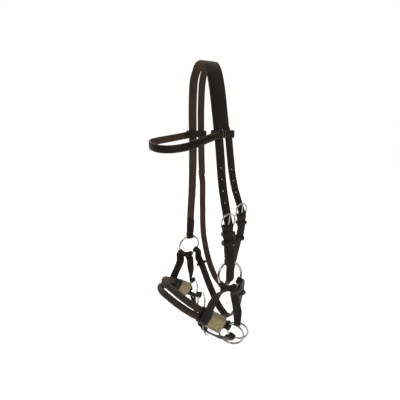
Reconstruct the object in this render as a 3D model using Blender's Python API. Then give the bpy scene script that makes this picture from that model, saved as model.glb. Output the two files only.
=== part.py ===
"""Bitless hackamore: split leather headstall, browband, throat latch, double rolled noseband and six steel rings.

Millimetres inside the script, metres in the scene. +Z is up, the nose points to -X, the horse's left
(near) side is -Y, and the origin is at the poll, under the middle of the crown strap.
"""

import math

import bmesh
import bpy
from mathutils import Matrix, Vector

MM = 0.001
NEAR, FAR = -1, 1
SIDES = {"near": NEAR, "far": FAR}
X, Y, Z = Vector((1, 0, 0)), Vector((0, 1, 0)), Vector((0, 0, 1))

# Leather
LEATHER = 2.6
LAYER = LEATHER + 0.4
FRONT_WIDTH = 18.5
REAR_WIDTH = 15.5
CHEEK_WIDTH = 22.0
BROW_HEIGHT = 14.5
LEG_WIDTH = 19.0
JAW_WIDTH = 17.0
CHIN_WIDTH = 15.0
LOOP_PLAY = 1.4

# Rings: centre line radius and wire radius
CHEEK_RING = (25.5, 2.4)
REIN_RING = (26.0, 2.4)
JAW_RING = (20.5, 2.2)
CHEEK_CENTRE = (17.5, 93.0, -400.5)
CHEEK_TILT = math.radians(12)
NOSE_AXIS = (17.5, 0.0, -400.5)
REIN_CENTRE = (39.5, 69.0, -550.0)
REIN_FACING = (math.radians(44), math.radians(-8))
JAW_CENTRE = (33.5, 100.0, -521.5)
JAW_FACING = (math.radians(40), math.radians(-11))

# Places round a cheek ring, as angles from its lowest point towards the back
YOKE_FROM, YOKE_TO = math.radians(-66), math.radians(24)
JAW_LOOP_AT = math.radians(52)

# Buckles: heel bar half length, straight side, wire radius, lean of the front bar off the strap
BUCKLE_WIRE = 1.6
CHIN_WIRE = 1.3
BUCKLE_LEAN = math.radians(20)
CHEEK_BAR_Z = -306.0
THROAT_BAR_Z = -288.0
FOLD_OVER = BUCKLE_WIRE + 0.5 + LEATHER + 0.4 + LEATHER / 2
BILLET_END_Z = -346.0
BILLET_TAIL = [(16.8, 90.6, -352), (16.2, 94.8, -365), (15.6, 96.7, -376), (14.8, 97.4, -394), (14.2, 98, -412)]
SPLICE_Z = -226.0

# Strap routes as (x, distance from the middle, z), hand set, from the poll down
CROWN = [
    (14, 7, 1.3), (14, 16, -1.2), (13.7, 26, -9.5), (14, 33.5, -22), (14.8, 39, -39),
    (16, 44, -62), (17.2, 48.5, -90), (18, 52, -110), (18.4, 53.7, -121),
]
NEAR_FRONT_TAIL = [
    (10.6, 55, -137), (12, 57.2, -160), (13, 59.5, -184), (13.8, 62, -209), (15, 66.5, -238),
    (16.8, 73, -268), (17.6, 78.2, -292), (17.6, 81.4, -316), (17.4, 84.6, -340), (17.5, 87.2, -362),
]
NEAR_REAR_TAIL = [
    (31.2, 56, -137), (33, 58.4, -160), (35, 60.5, -184), (37.2, 63, -209), (41.5, 67.5, -238),
    (47, 75, -268), (48.8, 79, -290), (48.4, 79, -310), (46.8, 77, -328),
]
FRONT_TAIL = [
    (8, 50, -100), (10, 53.5, -133), (11.5, 56, -158), (12.4, 58.5, -183), (13.3, 61.5, -208),
    (14.5, 66, -238), (16.5, 73, -268), (17, 78, -292), (17, 81, -316), (17.2, 84.4, -340),
    (17.5, 87.2, -362),
]
REAR_TAIL = [
    (25, 50, -102), (31, 55, -133), (32.5, 57, -158), (34, 59, -183), (36.5, 62, -208),
    (41, 67, -238), (45.5, 75, -268), (47.5, 79, -290), (48, 79, -310), (47, 77, -328),
]
FAR_FRONT_TOP = [(11, 16, -1.2), (7, 28, -9), (6.2, 36.5, -21), (5.8, 41, -37), (5.8, 44, -62), (7.2, 48.5, -92)]
FAR_REAR_TOP = [(21.5, 16, -1.2), (24.9, 28, -9), (25.6, 36.5, -21), (25.5, 41, -37), (26, 44.5, -62), (27.5, 49, -92)]
THROAT_LOW = [
    (45.5, 73, -348), (44.5, 68, -368), (45, 62, -388), (46, 55, -408), (48, 46, -430),
    (50.5, 34.5, -449), (53, 21, -464), (55, 0, -472),
]
BROW_NEAR = [
    (22, 60.6, -134), (0, 60.2, -138), (-25, 58.5, -147), (-49, 53.5, -155.5), (-75, 43, -160.5),
    (-95, 25, -160.5), (-103, 0, -156),
]
BROW_FAR = [
    (22, 60.6, -132.8), (0, 60.2, -135.5), (-26, 59, -140), (-52, 54, -144), (-77, 43, -147.5),
    (-96, 24, -151),
]
NOSE = [(-5, 80, -503), (-27, 74, -487), (-52, 61, -470), (-71, 40, -455.5), (-81, 18, -448), (-84, 0, -446.5)]
NOSE_UP = Vector((0.59, 0, 0.81))
TUBE_RADIUS, CORE_RADIUS = 6.8, 4.3
TUBE_APART, TUBE_BOW, TUBE_INSET = 14.2, 1.2, 12.0
NOSE_STEPS, NOSE_SIDES = 22, 8
JAW_TAB_AT = math.radians(-112)
REIN_TAB_AT = math.radians(-165)
REIN_TAB_BEND = [(18.5, 73.5, -522)]
FRONT_LEG = [(-8, 90.5, -437), (-20, 87.5, -458), (-30, 87, -478), (-38, 87.8, -493)]
REAR_LEG = [(23.5, 101, -441), (26, 104, -459), (28.5, 105.3, -476)]
JAW = [
    (44, 94, -437), (48, 85, -453), (51.5, 76, -470), (56, 64, -494), (60.5, 45, -520), (64, 24, -541),
    (66, 0, -550),
]
JAW_KEEPER_Z = -451.0
JAW_ACROSS = Vector((0.98, 0, 0.19))
CHIN_ACROSS = Vector((0.62, 0, -0.78))
CHIN_LOOP_AT = math.radians(-35)
CHIN_LOOP_OUT = Vector((0.2, 0.3, -1))
CHIN = [(22, 76, -551), (15, 52, -560), (13, 26, -567), (12.5, 0, -570)]
CHIN_BAR_AT = 0.0

COLOURS = {
    "leather": ((0.022, 0.016, 0.012), 0.42, 0.0),
    "strap": ((0.030, 0.020, 0.014), 0.5, 0.0),
    "rolled": ((0.050, 0.034, 0.026), 0.7, 0.0),
    "rope": ((0.55, 0.47, 0.34), 0.9, 0.0),
    "fleece": ((0.42, 0.32, 0.17), 0.95, 0.0),
    "steel": ((0.62, 0.61, 0.59), 0.22, 1.0),
}


def clear_scene():
    for obj in list(bpy.data.objects):
        bpy.data.objects.remove(obj, do_unlink=True)


def material(name, kind):
    colour, rough, metal = COLOURS[kind]
    made = bpy.data.materials.new(name)
    made.use_nodes = True
    shader = made.node_tree.nodes["Principled BSDF"]
    shader.inputs["Base Color"].default_value = (*colour, 1)
    shader.inputs["Roughness"].default_value = rough
    shader.inputs["Metallic"].default_value = metal
    return made


def add_node(name, bm, kind, pivot=(0, 0, 0)):
    """One named object from a bmesh in millimetres, with its origin on its joint's axis."""
    bmesh.ops.recalc_face_normals(bm, faces=bm.faces)
    bmesh.ops.translate(bm, verts=bm.verts, vec=-Vector(pivot))
    bmesh.ops.scale(bm, verts=bm.verts, vec=(MM, MM, MM))
    mesh = bpy.data.meshes.new(name)
    bm.to_mesh(mesh)
    bm.free()
    obj = bpy.data.objects.new(name, mesh)
    obj.location = Vector(pivot) * MM
    obj.data.materials.append(material(name, kind))
    bpy.context.scene.collection.objects.link(obj)
    return obj


def cut(obj, cutter):
    cutter.hide_render = True
    cutter.display_type = "WIRE"
    boolean = obj.modifiers.new("cut_" + cutter.name, "BOOLEAN")
    boolean.operation = "DIFFERENCE"
    boolean.solver = "EXACT"
    boolean.object = cutter


def join(obj, other):
    other.hide_render = True
    other.display_type = "WIRE"
    boolean = obj.modifiers.new("join_" + other.name, "BOOLEAN")
    boolean.operation = "UNION"
    boolean.solver = "EXACT"
    boolean.object = other


def on_side(points, side):
    return [Vector((x, side * y, z)) for x, y, z in points]


def smooth(points, per=3):
    """A Catmull-Rom curve through the points."""
    points = [Vector(p) for p in points]
    ends = [2 * points[0] - points[1], *points, 2 * points[-1] - points[-2]]
    out = []
    for a, b, c, d in zip(ends, ends[1:], ends[2:], ends[3:]):
        for i in range(per):
            t = i / per
            out.append(
                0.5 * (2 * b + (c - a) * t + (2 * a - 5 * b + 4 * c - d) * t**2 + (3 * b - a - 3 * c + d) * t**3)
            )
    return [*out, points[-1]]


def tangents(points):
    last = len(points) - 1
    return [(points[min(i + 1, last)] - points[max(i - 1, 0)]).normalized() for i in range(last + 1)]


def frames(points, across):
    """(point, across, face normal) at each point; across is one vector, or one for each point."""
    out = []
    for i, (point, along) in enumerate(zip(points, tangents(points))):
        wide = across[i] if isinstance(across, list) else across
        wide = (wide - along * wide.dot(along)).normalized()
        out.append((point, wide, wide.cross(along)))
    return out


def section(frame, width, thick):
    point, wide, normal = frame
    return [
        point - wide * width / 2 + normal * thick / 2,
        point + wide * width / 2 + normal * thick / 2,
        point + wide * width / 2 - normal * thick / 2,
        point - wide * width / 2 - normal * thick / 2,
    ]


def skin(bm, rings, closed=False):
    """Faces between rings of vertices, with caps unless the sweep is closed."""
    pairs = list(zip(rings, rings[1:]))
    if closed:
        pairs.append((rings[-1], rings[0]))
    else:
        bm.faces.new(rings[0])
        bm.faces.new(rings[-1])
    for a, b in pairs:
        for i in range(len(a)):
            j = (i + 1) % len(a)
            bm.faces.new((a[i], a[j], b[j], b[i]))


def ribbon_mesh(points, across, width, thick=LEATHER):
    """A flat strap along the points; width is one number, or one for each point."""
    bm = bmesh.new()
    widths = width if isinstance(width, list) else [width] * len(points)
    sections = [section(f, w, thick) for f, w in zip(frames(points, across), widths)]
    skin(bm, [[bm.verts.new(p) for p in ring] for ring in sections])
    return bm


def ribbon(name, points, across, width, kind="leather", thick=LEATHER, pivot=(0, 0, 0)):
    return add_node(name, ribbon_mesh(points, across, width, thick), kind, pivot)


def tube_mesh(points, radius, sides=10, closed=False, hint=X):
    bm = bmesh.new()
    rings = []
    last = len(points) - 1
    for i, point in enumerate(points):
        if closed:
            along = (points[(i + 1) % (last + 1)] - points[i - 1]).normalized()
        else:
            along = (points[min(i + 1, last)] - points[max(i - 1, 0)]).normalized()
        one = (hint - along * hint.dot(along)).normalized()
        two = along.cross(one)
        turn = [2 * math.pi * k / sides for k in range(sides)]
        rings.append([bm.verts.new(point + radius * (math.cos(t) * one + math.sin(t) * two)) for t in turn])
    skin(bm, rings, closed)
    return bm


def sleeve_mesh(points, outline_out, outline_in):
    """A tube open at both ends; each outline gives a ring of points round one (point, across, normal) frame."""
    bm = bmesh.new()
    outer = [[bm.verts.new(p) for p in outline_out(f)] for f in points]
    inner = [[bm.verts.new(p) for p in outline_in(f)] for f in points]
    count = len(outer[0])
    for rings in (outer, inner):
        for a, b in zip(rings, rings[1:]):
            for i in range(count):
                j = (i + 1) % count
                bm.faces.new((a[i], a[j], b[j], b[i]))
    for end in (0, -1):
        for i in range(count):
            j = (i + 1) % count
            bm.faces.new((outer[end][i], outer[end][j], inner[end][j], inner[end][i]))
    return bm


def round_box(wide, deep, corner):
    """An outline function: a rectangle, wide along the frame's across and deep along its normal, with cut corners."""

    def outline(frame):
        point, across, normal = frame
        a, b = wide / 2, deep / 2
        marks = [
            (-a, b - corner), (-a + corner, b), (a - corner, b), (a, b - corner),
            (a, -b + corner), (a - corner, -b), (-a + corner, -b), (-a, -b + corner),
        ]
        return [point + across * u + normal * v for u, v in marks]

    return outline


def circle(radius, sides=10):
    def outline(frame):
        point, across, normal = frame
        turn = [2 * math.pi * k / sides for k in range(sides)]
        return [point + radius * (math.cos(t) * across + math.sin(t) * normal) for t in turn]

    return outline


def facing(side, turn, tip):
    """A ring plane as (backward, upward, outward) unit vectors for a ring turned towards the nose and tipped."""
    out = Vector((-math.sin(turn) * math.cos(tip), side * math.cos(turn) * math.cos(tip), math.sin(tip)))
    back = Vector((math.cos(turn), side * math.sin(turn), 0))
    up = out.cross(back) * (1 if side == NEAR else -1)
    return back, up, out


def cheek_plane(side):
    return X, Vector((0, -side * math.sin(CHEEK_TILT), math.cos(CHEEK_TILT))), Vector(
        (0, side * math.cos(CHEEK_TILT), math.sin(CHEEK_TILT))
    )


def centre(place, side):
    return Vector((place[0], side * place[1], place[2]))


def ring_point(middle, plane, radius, angle):
    """The point of a ring at an angle from its lowest point towards the back."""
    back, up, _ = plane
    return middle + radius * (math.sin(angle) * back - math.cos(angle) * up)


def ring_along(plane, angle):
    back, up, _ = plane
    return math.cos(angle) * back + math.sin(angle) * up


def add_ring(name, middle, plane, size, pivot=None):
    radius, wire = size
    turns = [2 * math.pi * i / 24 for i in range(24)]
    points = [ring_point(middle, plane, radius, t) for t in turns]
    add_node(name, tube_mesh(points, wire, 6, True, plane[2]), "steel", pivot or middle)


def hook(wire_point, wire_along, toward, out, wire, steps=6):
    """Points of a strap's loop round a wire: past it on the out side, round its far side and back on the inner side."""
    away = (toward - wire_along * toward.dot(wire_along)).normalized()
    over = (out - wire_along * out.dot(wire_along) - away * out.dot(away)).normalized()
    radius = wire + LOOP_PLAY + LEATHER / 2
    angles = [math.pi * i / steps for i in range(steps + 1)]
    return [wire_point + radius * (math.cos(a) * over + math.sin(a) * away) for a in angles]


def looped_end(points, wire_point, wire_along, out, wire, tail_length):
    """A strap's end: its points, then the loop round the wire, then a tail stitched back along its inner face."""
    toward = wire_point - points[-1]
    turn = hook(wire_point, wire_along, toward, out, wire)
    away = (toward - wire_along * toward.dot(wire_along)).normalized()
    inner = (turn[-1] - turn[0]).normalized()
    ease = 0.35 * (turn[-1] - turn[0]).length
    lead = turn[0] - away * 7 + inner * ease * 0.4
    back = turn[-1] - away * 8 - inner * ease * 0.7
    line = [p for p in points if (p - turn[0]).length > 9]
    tail_points, run = [], 0.0
    previous = lead
    for point, _, normal in reversed(frames(line, wire_along)):
        run += (point - previous).length
        previous = point
        if run > tail_length:
            break
        if normal.dot(inner) < 0:
            normal = -normal
        if (point - back).length > 4:
            tail_points.append(point + normal * LAYER)
    return [*line, lead, *turn, back, *tail_points]


def shifted(points, across, offsets, side):
    """The points moved off the strap's face, outwards for a positive offset."""
    out = []
    for i, (point, _, normal) in enumerate(frames(points, across)):
        if normal.y * side < 0:
            normal = -normal
        out.append(point + normal * (offsets[i] if isinstance(offsets, list) else offsets))
    return out


def between(points, high, low):
    return [p for p in points if low <= p.z <= high]


# Headstall


def crown_frames():
    """Middle line of the joined crown, from the near split over the poll to the far split."""
    near = smooth(on_side(CROWN, NEAR), 2)
    far = smooth(on_side(CROWN[:2], FAR), 2)
    return frames([*reversed(near), *far], X)


def half_sections(frame, low, high):
    """The section from low to high along the frame's across, as upper and lower edge points."""
    point, wide, normal = frame
    half = LEATHER / 2
    return [
        point + wide * low + normal * half,
        point + wide * high + normal * half,
        point + wide * high - normal * half,
        point + wide * low - normal * half,
    ]


def crown_body(bm):
    """The joined part; returns the vertex rings of the front and rear halves at the near and far splits."""
    front, rear = [], []
    for frame in crown_frames():
        edge = half_sections(frame, -FRONT_WIDTH, 0)
        back = half_sections(frame, 0, REAR_WIDTH)
        f = [bm.verts.new(p) for p in edge]
        r = [f[1], bm.verts.new(back[1]), bm.verts.new(back[2]), f[2]]
        front.append(f)
        rear.append(r)
    for halves, skipped in ((front, 1), (rear, 3)):
        for a, b in zip(halves, halves[1:]):
            for i in range(4):
                if i != skipped:
                    j = (i + 1) % 4
                    bm.faces.new((a[i], a[j], b[j], b[i]))
    return (front[0], rear[0]), (front[-1], rear[-1])


def tail(bm, start, points, width, side):
    """A tail that grows down out of a ring of the crown's vertices, with its upper face outwards on both sides."""
    widths = width if isinstance(width, list) else [width] * len(points)
    rings = [start]
    for (point, wide, normal), w in list(zip(frames(points, X), widths))[1:]:
        rings.append([bm.verts.new(p) for p in section((point, wide, normal * side), w, LEATHER)])
    bm.faces.new(rings[-1])
    for a, b in zip(rings, rings[1:]):
        for i in range(4):
            j = (i + 1) % 4
            bm.faces.new((a[i], a[j], b[j], b[i]))


def front_route(side):
    """Middle line of a front tail and the cheekpiece below it, down to the top of the cheek ring."""
    if side == NEAR:
        top = [(CROWN[-1][0] - FRONT_WIDTH / 2, *CROWN[-1][1:]), *NEAR_FRONT_TAIL]
    else:
        top = [(14 - FRONT_WIDTH / 2, 16, -1.2), *FAR_FRONT_TOP[1:], *FRONT_TAIL[1:]]
    return smooth(on_side(top, side), 2)


def rear_route(side):
    """Middle line of a rear tail and the throat latch below it, down to the middle of the throat latch."""
    if side == NEAR:
        top = [(CROWN[-1][0] + REAR_WIDTH / 2, *CROWN[-1][1:]), *NEAR_REAR_TAIL]
    else:
        top = [(14 + REAR_WIDTH / 2, 16, -1.2), *FAR_REAR_TOP[1:], *REAR_TAIL[1:]]
    return smooth(on_side([*top, *THROAT_LOW], side), 2)


def billet_lift(up):
    """How far a billet stands off its strap's middle line, at a distance up the strap from the heel bar."""
    marks = [(-9, LAYER * 1.5), (0, FOLD_OVER), (15, 2.1), (21, 1.5), (38, 0.0)]
    for (a, low), (b, high) in zip(marks, marks[1:]):
        if up < b:
            return low + (high - low) * max(0.0, (up - a) / (b - a))
    return 0.0


def with_bar(route, bar_z):
    """The route with points at the bar and at the front bar's height, so the billet bends there."""
    out = []
    for a, b in zip(route, route[1:]):
        out.append(a)
        for z in (bar_z + 21, bar_z + 15, bar_z + 7, bar_z, bar_z - 9):
            if a.z > z > b.z:
                out.append(a.lerp(b, (a.z - z) / (a.z - b.z)))
    return [*out, route[-1]]


def billet(route, bar_z):
    """The near tail that goes under a buckle's front bar, over its heel bar and on down outside the strap."""
    route = [p for p in with_bar(route, bar_z) if p.z > BILLET_END_Z]
    offsets = []
    for point in route:
        up = point.z - bar_z
        offsets.append(billet_lift(up))
    return shifted(route, X, offsets, NEAR)


def cheek_billet():
    """The cheek billet is long: its tail hangs on down outside the cheek ring."""
    return [*billet(front_route(NEAR), CHEEK_BAR_Z), *on_side(BILLET_TAIL, NEAR)]


def narrowed(points, width, places, narrow, reach=10.0):
    """The strap's width at each point: less where it loops round a ring."""
    out = []
    for point in points:
        near = min((point - place).length for place in places)
        share = min(1.0, max(0.0, (near - 6.0) / reach))
        out.append(narrow + (width - narrow) * share)
    return out


def cheek_ring_top(side):
    return ring_point(centre(CHEEK_CENTRE, side), cheek_plane(side), CHEEK_RING[0], math.pi)


def cheek_end(points, side, tail_length):
    top = cheek_ring_top(side)
    return looped_end(points, top, X, Y * side, CHEEK_RING[1], tail_length)


def make_crown():
    bm = bmesh.new()
    (near_front, near_rear), (far_front, far_rear) = crown_body(bm)
    points = cheek_billet()
    widths = [*[FRONT_WIDTH] * (len(points) - 1), FRONT_WIDTH - 7]
    tail(bm, near_front, points, widths, NEAR)
    tail(bm, near_rear, billet(rear_route(NEAR), THROAT_BAR_Z), REAR_WIDTH, NEAR)
    points = cheek_end(front_route(FAR), FAR, 52)
    tail(bm, far_front, points, narrowed(points, FRONT_WIDTH, [cheek_ring_top(FAR)], 15), FAR)
    tail(bm, far_rear, [p for p in rear_route(FAR) if p.z > SPLICE_Z], REAR_WIDTH, FAR)
    crown = add_node("crown_strap", bm, "strap")
    for label, route, bar_z in (("cheek", front_route(NEAR), CHEEK_BAR_Z), ("throat", rear_route(NEAR), THROAT_BAR_Z)):
        middle, across, up, out = bar_frame(route, bar_z)
        hole = box_mesh(middle + up * 5.2 + out * 4.5, (across, up, out), (4.4, 9.6, 9))
        cut(crown, add_node("billet_slot_" + label, hole, "leather"))
    return crown


def brow_route():
    near, far = on_side(BROW_NEAR, NEAR), on_side(BROW_FAR, FAR)
    return smooth([*near, *reversed(far)], 2)


def brow_loop(side):
    """One end of the browband as a closed loop round both tails: inside face, then the outside face."""
    height = (BROW_NEAR if side == NEAR else BROW_FAR)[0][2]
    marks = [
        (-1.6, 58.8), (9, 58.8), (32, 60), (40.5, 59.6), (42.3, 56.5),
        (40.5, 51.2), (30, 50.6), (9, 49.6), (-1.6, 50), (-3.1, 54.5),
    ]
    return [Vector((x, side * y, height)) for x, y in marks]


def make_browband():
    """The strap across the forehead, with a loop at each end round the front and rear tails."""
    bm = ribbon_mesh(brow_route()[1:-1], Z, BROW_HEIGHT)
    band = add_node("browband", bm, "strap")
    for label, side in SIDES.items():
        loop = bmesh.new()
        points = brow_loop(side)
        rings = []
        for i, point in enumerate(points):
            along = (points[(i + 1) % len(points)] - points[i - 1]).normalized()
            normal = Z.cross(along)
            rings.append([loop.verts.new(p) for p in section((point, Z, normal), BROW_HEIGHT, LEATHER)])
        skin(loop, rings, True)
        join(band, add_node("brow_loop_" + label, loop, "strap"))


def bar_frame(route, bar_z):
    """A buckle's frame at its heel bar: (middle of the bar, across, up the strap, outwards), on the near side."""
    after = next(i for i, p in enumerate(route) if p.z <= bar_z)
    a, b = route[after - 1], route[after]
    middle = a.lerp(b, (a.z - bar_z) / (a.z - b.z))
    up = (a - b).normalized()
    across = (X - up * X.dot(up)).normalized()
    return middle, across, up, across.cross(up)


def box_mesh(middle, axes, sizes):
    bm = bmesh.new()
    bmesh.ops.create_cube(bm, size=1)
    turn = Matrix(axes).transposed().to_4x4()
    shape = Matrix.Translation(middle) @ turn @ Matrix.Diagonal((*sizes, 1))
    bmesh.ops.transform(bm, matrix=shape, verts=bm.verts)
    return bm


def buckle_outline(half, straight, steps=10):
    """A horseshoe, as (across, up) points: heel bar at the bottom, round front bar at the top."""
    corner = 2.4
    marks = [(-half + corner, 0), (0, 0), (half - corner, 0), (half - 0.7, 0.7), (half, corner)]
    for i in range(steps + 1):
        a = math.pi * i / steps
        marks.append((half * math.cos(a), straight + half * math.sin(a)))
    return [*marks, (-half, corner), (-half + 0.7, 0.7)]


def make_buckle(label, frame, half, straight, wire=BUCKLE_WIRE):
    """Horseshoe frame and tongue; both turn on the heel bar."""
    middle, across, up, out = frame
    lean = math.cos(BUCKLE_LEAN) * up + math.sin(BUCKLE_LEAN) * out
    points = [middle + across * a + lean * b for a, b in buckle_outline(half, straight)]
    face = across.cross(lean).normalized()
    add_node(label + "_buckle_frame", tube_mesh(points, wire, 8, True, face), "steel", middle)
    make_tongue(label, frame, half + straight, wire)


def make_tongue(label, frame, reach, wire):
    """A flat prong curled round the heel bar, lying just over the front bar."""
    middle, across, up, out = frame
    eye = wire + 0.4 + 0.6
    start = math.degrees(BUCKLE_LEAN) + 90
    turns = [math.radians(a) for a in range(20, int(start) - 360, -30)]
    turns.append(math.radians(start - 360))
    curl = [middle + eye * (math.cos(a) * up + math.sin(a) * out) for a in turns]
    lean = math.cos(BUCKLE_LEAN) * up + math.sin(BUCKLE_LEAN) * out
    points = [*curl, curl[-1] + lean * reach * 0.5, curl[-1] + lean * (reach + 2.6)]
    add_node(label + "_buckle_tongue", ribbon_mesh(points, across, 2.6, 1.2), "steel", middle)


def bar_loop(frame, points, tail_length, wire=BUCKLE_WIRE, side=NEAR):
    """A strap's top end round a heel bar: up inside, over the bar and down outside."""
    middle, across, up, out = frame
    radius = wire + 0.5 + LEATHER / 2
    turns = [math.radians(a) for a in range(-90, 91, 30)]
    turn = [middle + radius * (math.cos(a) * up + math.sin(a) * out) for a in turns]
    half = LAYER / 2
    low = [p for p in with_bar(points, middle.z) if p.z < middle.z - 8.9]
    outer = shifted(low, X, half, side)
    reach = middle.z - tail_length
    inner = shifted([p for p in low if p.z > reach], X, -half, side)
    return [*reversed(inner), *turn, *outer]


def tongue_slot(name, strap, frame):
    middle, across, up, out = frame
    hole = box_mesh(middle + up * 0.6 + out * 0.5, (across, up, out), (4.2, 11.5, 13))
    cut(strap, add_node(name, hole, "leather"))


def make_cheekpiece():
    """Near cheekpiece: round the heel bar above and the cheek ring below, each end turned back inside."""
    route = front_route(NEAR)
    frame = bar_frame(route, CHEEK_BAR_Z)
    above = bar_loop(frame, [p for p in route if p.z > -366], 24)
    points = cheek_end(above, NEAR, 14)
    ring_top = cheek_ring_top(NEAR)
    widths = narrowed(points, CHEEK_WIDTH, [ring_top], 14.6)
    cheekpiece = ribbon("near_cheekpiece", points, X, widths, "strap")
    tongue_slot("cheek_tongue_slot", cheekpiece, frame)


def make_throat_latch():
    """From the splice on the far rear tail, under the jaw, up to the near throat buckle."""
    near, far = rear_route(NEAR), rear_route(FAR)
    frame = bar_frame(near, THROAT_BAR_Z)
    low = [p for p in near if p.z < THROAT_BAR_Z]
    top = bar_loop(frame, low, 26)
    count = len(low)
    merged = top[: len(top) - count]
    for i, (shift, plain) in enumerate(zip(top[-count:], low)):
        share = min(1.0, max(0.0, (plain.z + 400) / 40))
        merged.append(plain.lerp(shift, share))
    rise = [p for p in reversed(far) if p.z < SPLICE_Z + 22]
    offsets = [LAYER * min(1.0, max(0.0, (p.z - SPLICE_Z + 14) / 10)) for p in rise]
    rise = shifted(rise, X, offsets, FAR)
    points = [*merged, *rise[1:]]
    latch = ribbon("throat_latch", points, X, REAR_WIDTH - 0.5, "strap")
    tongue_slot("throat_tongue_slot", latch, frame)


def keeper(name, middle, axes, inside, wall=1.5, height=7.0):
    """A leather loop round a strap; axes are across, along and out, inside is (wide, deep)."""
    across, along, out = axes
    ends = [(middle + along * h, across, out) for h in (-height / 2, height / 2)]
    wide, deep = inside
    bm = sleeve_mesh(ends, round_box(wide + 2 * wall, deep + 2 * wall, 1.6), round_box(wide, deep, 0.6))
    add_node(name, bm, "leather", middle)


def keeper_on(name, route, z, width, layers_in, layers_out, height=7.0):
    """A keeper on a near strap at a height, round so many layers inside and outside the route."""
    middle, across, up, out = bar_frame(route, z)
    inner, outer = -layers_in, layers_out
    deep = outer - inner + 0.9
    keeper(name, middle + out * (outer + inner) / 2, (across, up, out), (width + 1.2, deep), height=height)


def make_headstall_keepers():
    cheek, throat = front_route(NEAR), rear_route(NEAR)
    keeper_on("cheek_keeper_fixed", cheek, CHEEK_BAR_Z - 14, CHEEK_WIDTH, LAYER, LAYER * 2)
    keeper_on("cheek_keeper_sliding", cheek, CHEEK_BAR_Z - 31, CHEEK_WIDTH, LAYER, LAYER * 2, 9)
    keeper_on("throat_keeper_fixed", throat, THROAT_BAR_Z - 14, REAR_WIDTH, LAYER, LAYER * 2, 6)
    keeper_on("throat_keeper_sliding", throat, THROAT_BAR_Z - 46, REAR_WIDTH, LAYER, LAYER * 2, 8)


# Rings and the nose unit


def make_rings():
    for label, side in SIDES.items():
        add_ring("cheek_ring_" + label, centre(CHEEK_CENTRE, side), cheek_plane(side), CHEEK_RING)
        plane, middle = facing(side, *REIN_FACING), centre(REIN_CENTRE, side)
        held_at = ring_point(middle, plane, REIN_RING[0], REIN_TAB_AT)
        add_ring("rein_ring_" + label, middle, plane, REIN_RING, held_at)
        add_ring("jaw_ring_" + label, centre(JAW_CENTRE, side), facing(side, *JAW_FACING), JAW_RING)


def make_yoke(label, side):
    """The die-cut side strap: folded round the lower arc of the cheek ring, with a front and a rear leg."""
    middle, plane = centre(CHEEK_CENTRE, side), cheek_plane(side)
    inner = CHEEK_RING[1] + LOOP_PLAY
    turns = [YOKE_FROM + (YOKE_TO - YOKE_FROM) * i / 8 for i in range(9)]
    arc = [(ring_point(middle, plane, CHEEK_RING[0], t), plane[2], ring_out(plane, t)) for t in turns]
    bm = sleeve_mesh(arc, circle(inner + 2.3), circle(inner))
    yoke = add_node("side_yoke_" + label, bm, "leather", NOSE_AXIS)
    wall = inner + 1.45
    start = ring_point(middle, plane, CHEEK_RING[0], math.radians(-44)) + plane[2] * wall
    front = smooth([start, start - plane[1] * 7 - X * 2, *on_side(FRONT_LEG, side)], 2)
    join(yoke, add_node("front_leg_" + label, ribbon_mesh(front, X, LEG_WIDTH), "leather"))
    start = ring_point(middle, plane, CHEEK_RING[0], math.radians(6)) + plane[2] * wall
    rear = smooth([start, start - plane[1] * 7, *on_side(REAR_LEG, side)], 2)
    jaw_plane = facing(side, *JAW_FACING)
    top = ring_point(centre(JAW_CENTRE, side), jaw_plane, JAW_RING[0], math.pi)
    points = looped_end(rear, top, jaw_plane[0], Y * side, JAW_RING[1], 16)
    across = turning(points, X, jaw_plane[0], top, 30)
    widths = narrowed(points, LEG_WIDTH - 1, [top], 13)
    join(yoke, add_node("rear_leg_" + label, ribbon_mesh(points, across, widths), "leather"))


def ring_out(plane, angle):
    back, up, _ = plane
    return math.sin(angle) * back - math.cos(angle) * up


def turning(points, usual, at_ring, place, reach):
    """The strap's across direction at each point: its usual one, turned to the wire's near a ring."""
    out = []
    for point in points:
        share = min(1.0, max(0.0, ((point - place).length - 8.0) / reach))
        out.append((at_ring * (1 - share) + usual * share).normalized())
    return out


def nose_route():
    near = on_side(NOSE, NEAR)
    far = on_side(NOSE[:-1], FAR)
    rear = (near[0] - near[1]).normalized() * 16
    rear_far = Vector((rear.x, -rear.y, rear.z))
    return smooth([near[0] + rear, *near, *reversed(far), far[0] + rear_far], 5)


def length(points):
    return sum((b - a).length for a, b in zip(points, points[1:]))


def stretch(points, start, end, count):
    """Evenly spaced points of a line between two distances from its start."""
    out, run, i = [], 0.0, 0
    for k in range(count + 1):
        want = start + (end - start) * k / count
        while i < len(points) - 2 and run + (points[i + 1] - points[i]).length < want:
            run += (points[i + 1] - points[i]).length
            i += 1
        step = (points[i + 1] - points[i]).length
        out.append(points[i].lerp(points[i + 1], (want - run) / step))
    return out


def nose_frames(side, start, end, count):
    """Frames along the noseband between two distances from one side's rear end."""
    route = nose_route() if side == NEAR else list(reversed(nose_route()))
    return frames(stretch(route, start, end, count), NOSE_UP)


def tube_line(sign, inset):
    """Middle line of one nose tube; the two bow apart over the nose."""
    whole = length(nose_route())
    out = []
    found = nose_frames(NEAR, inset, whole - inset, NOSE_STEPS)
    for i, (point, up, _) in enumerate(found):
        bow = max(0.0, math.sin(math.pi * i / NOSE_STEPS) - 0.5) * 2
        out.append(point + up * sign * (TUBE_APART / 2 + TUBE_BOW * bow))
    return out


def make_nose_tubes():
    for label, sign in (("upper", 1), ("lower", -1)):
        line = frames(tube_line(sign, TUBE_INSET), NOSE_UP)
        bm = sleeve_mesh(line, circle(TUBE_RADIUS, NOSE_SIDES), circle(CORE_RADIUS + 0.6, NOSE_SIDES))
        add_node(label + "_nose_tube", bm, "rolled", NOSE_AXIS)
        core = tube_mesh(tube_line(sign, TUBE_INSET + 1.5), CORE_RADIUS, 6, False, NOSE_UP)
        add_node(label + "_rope_core", core, "rope", NOSE_AXIS)


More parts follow.
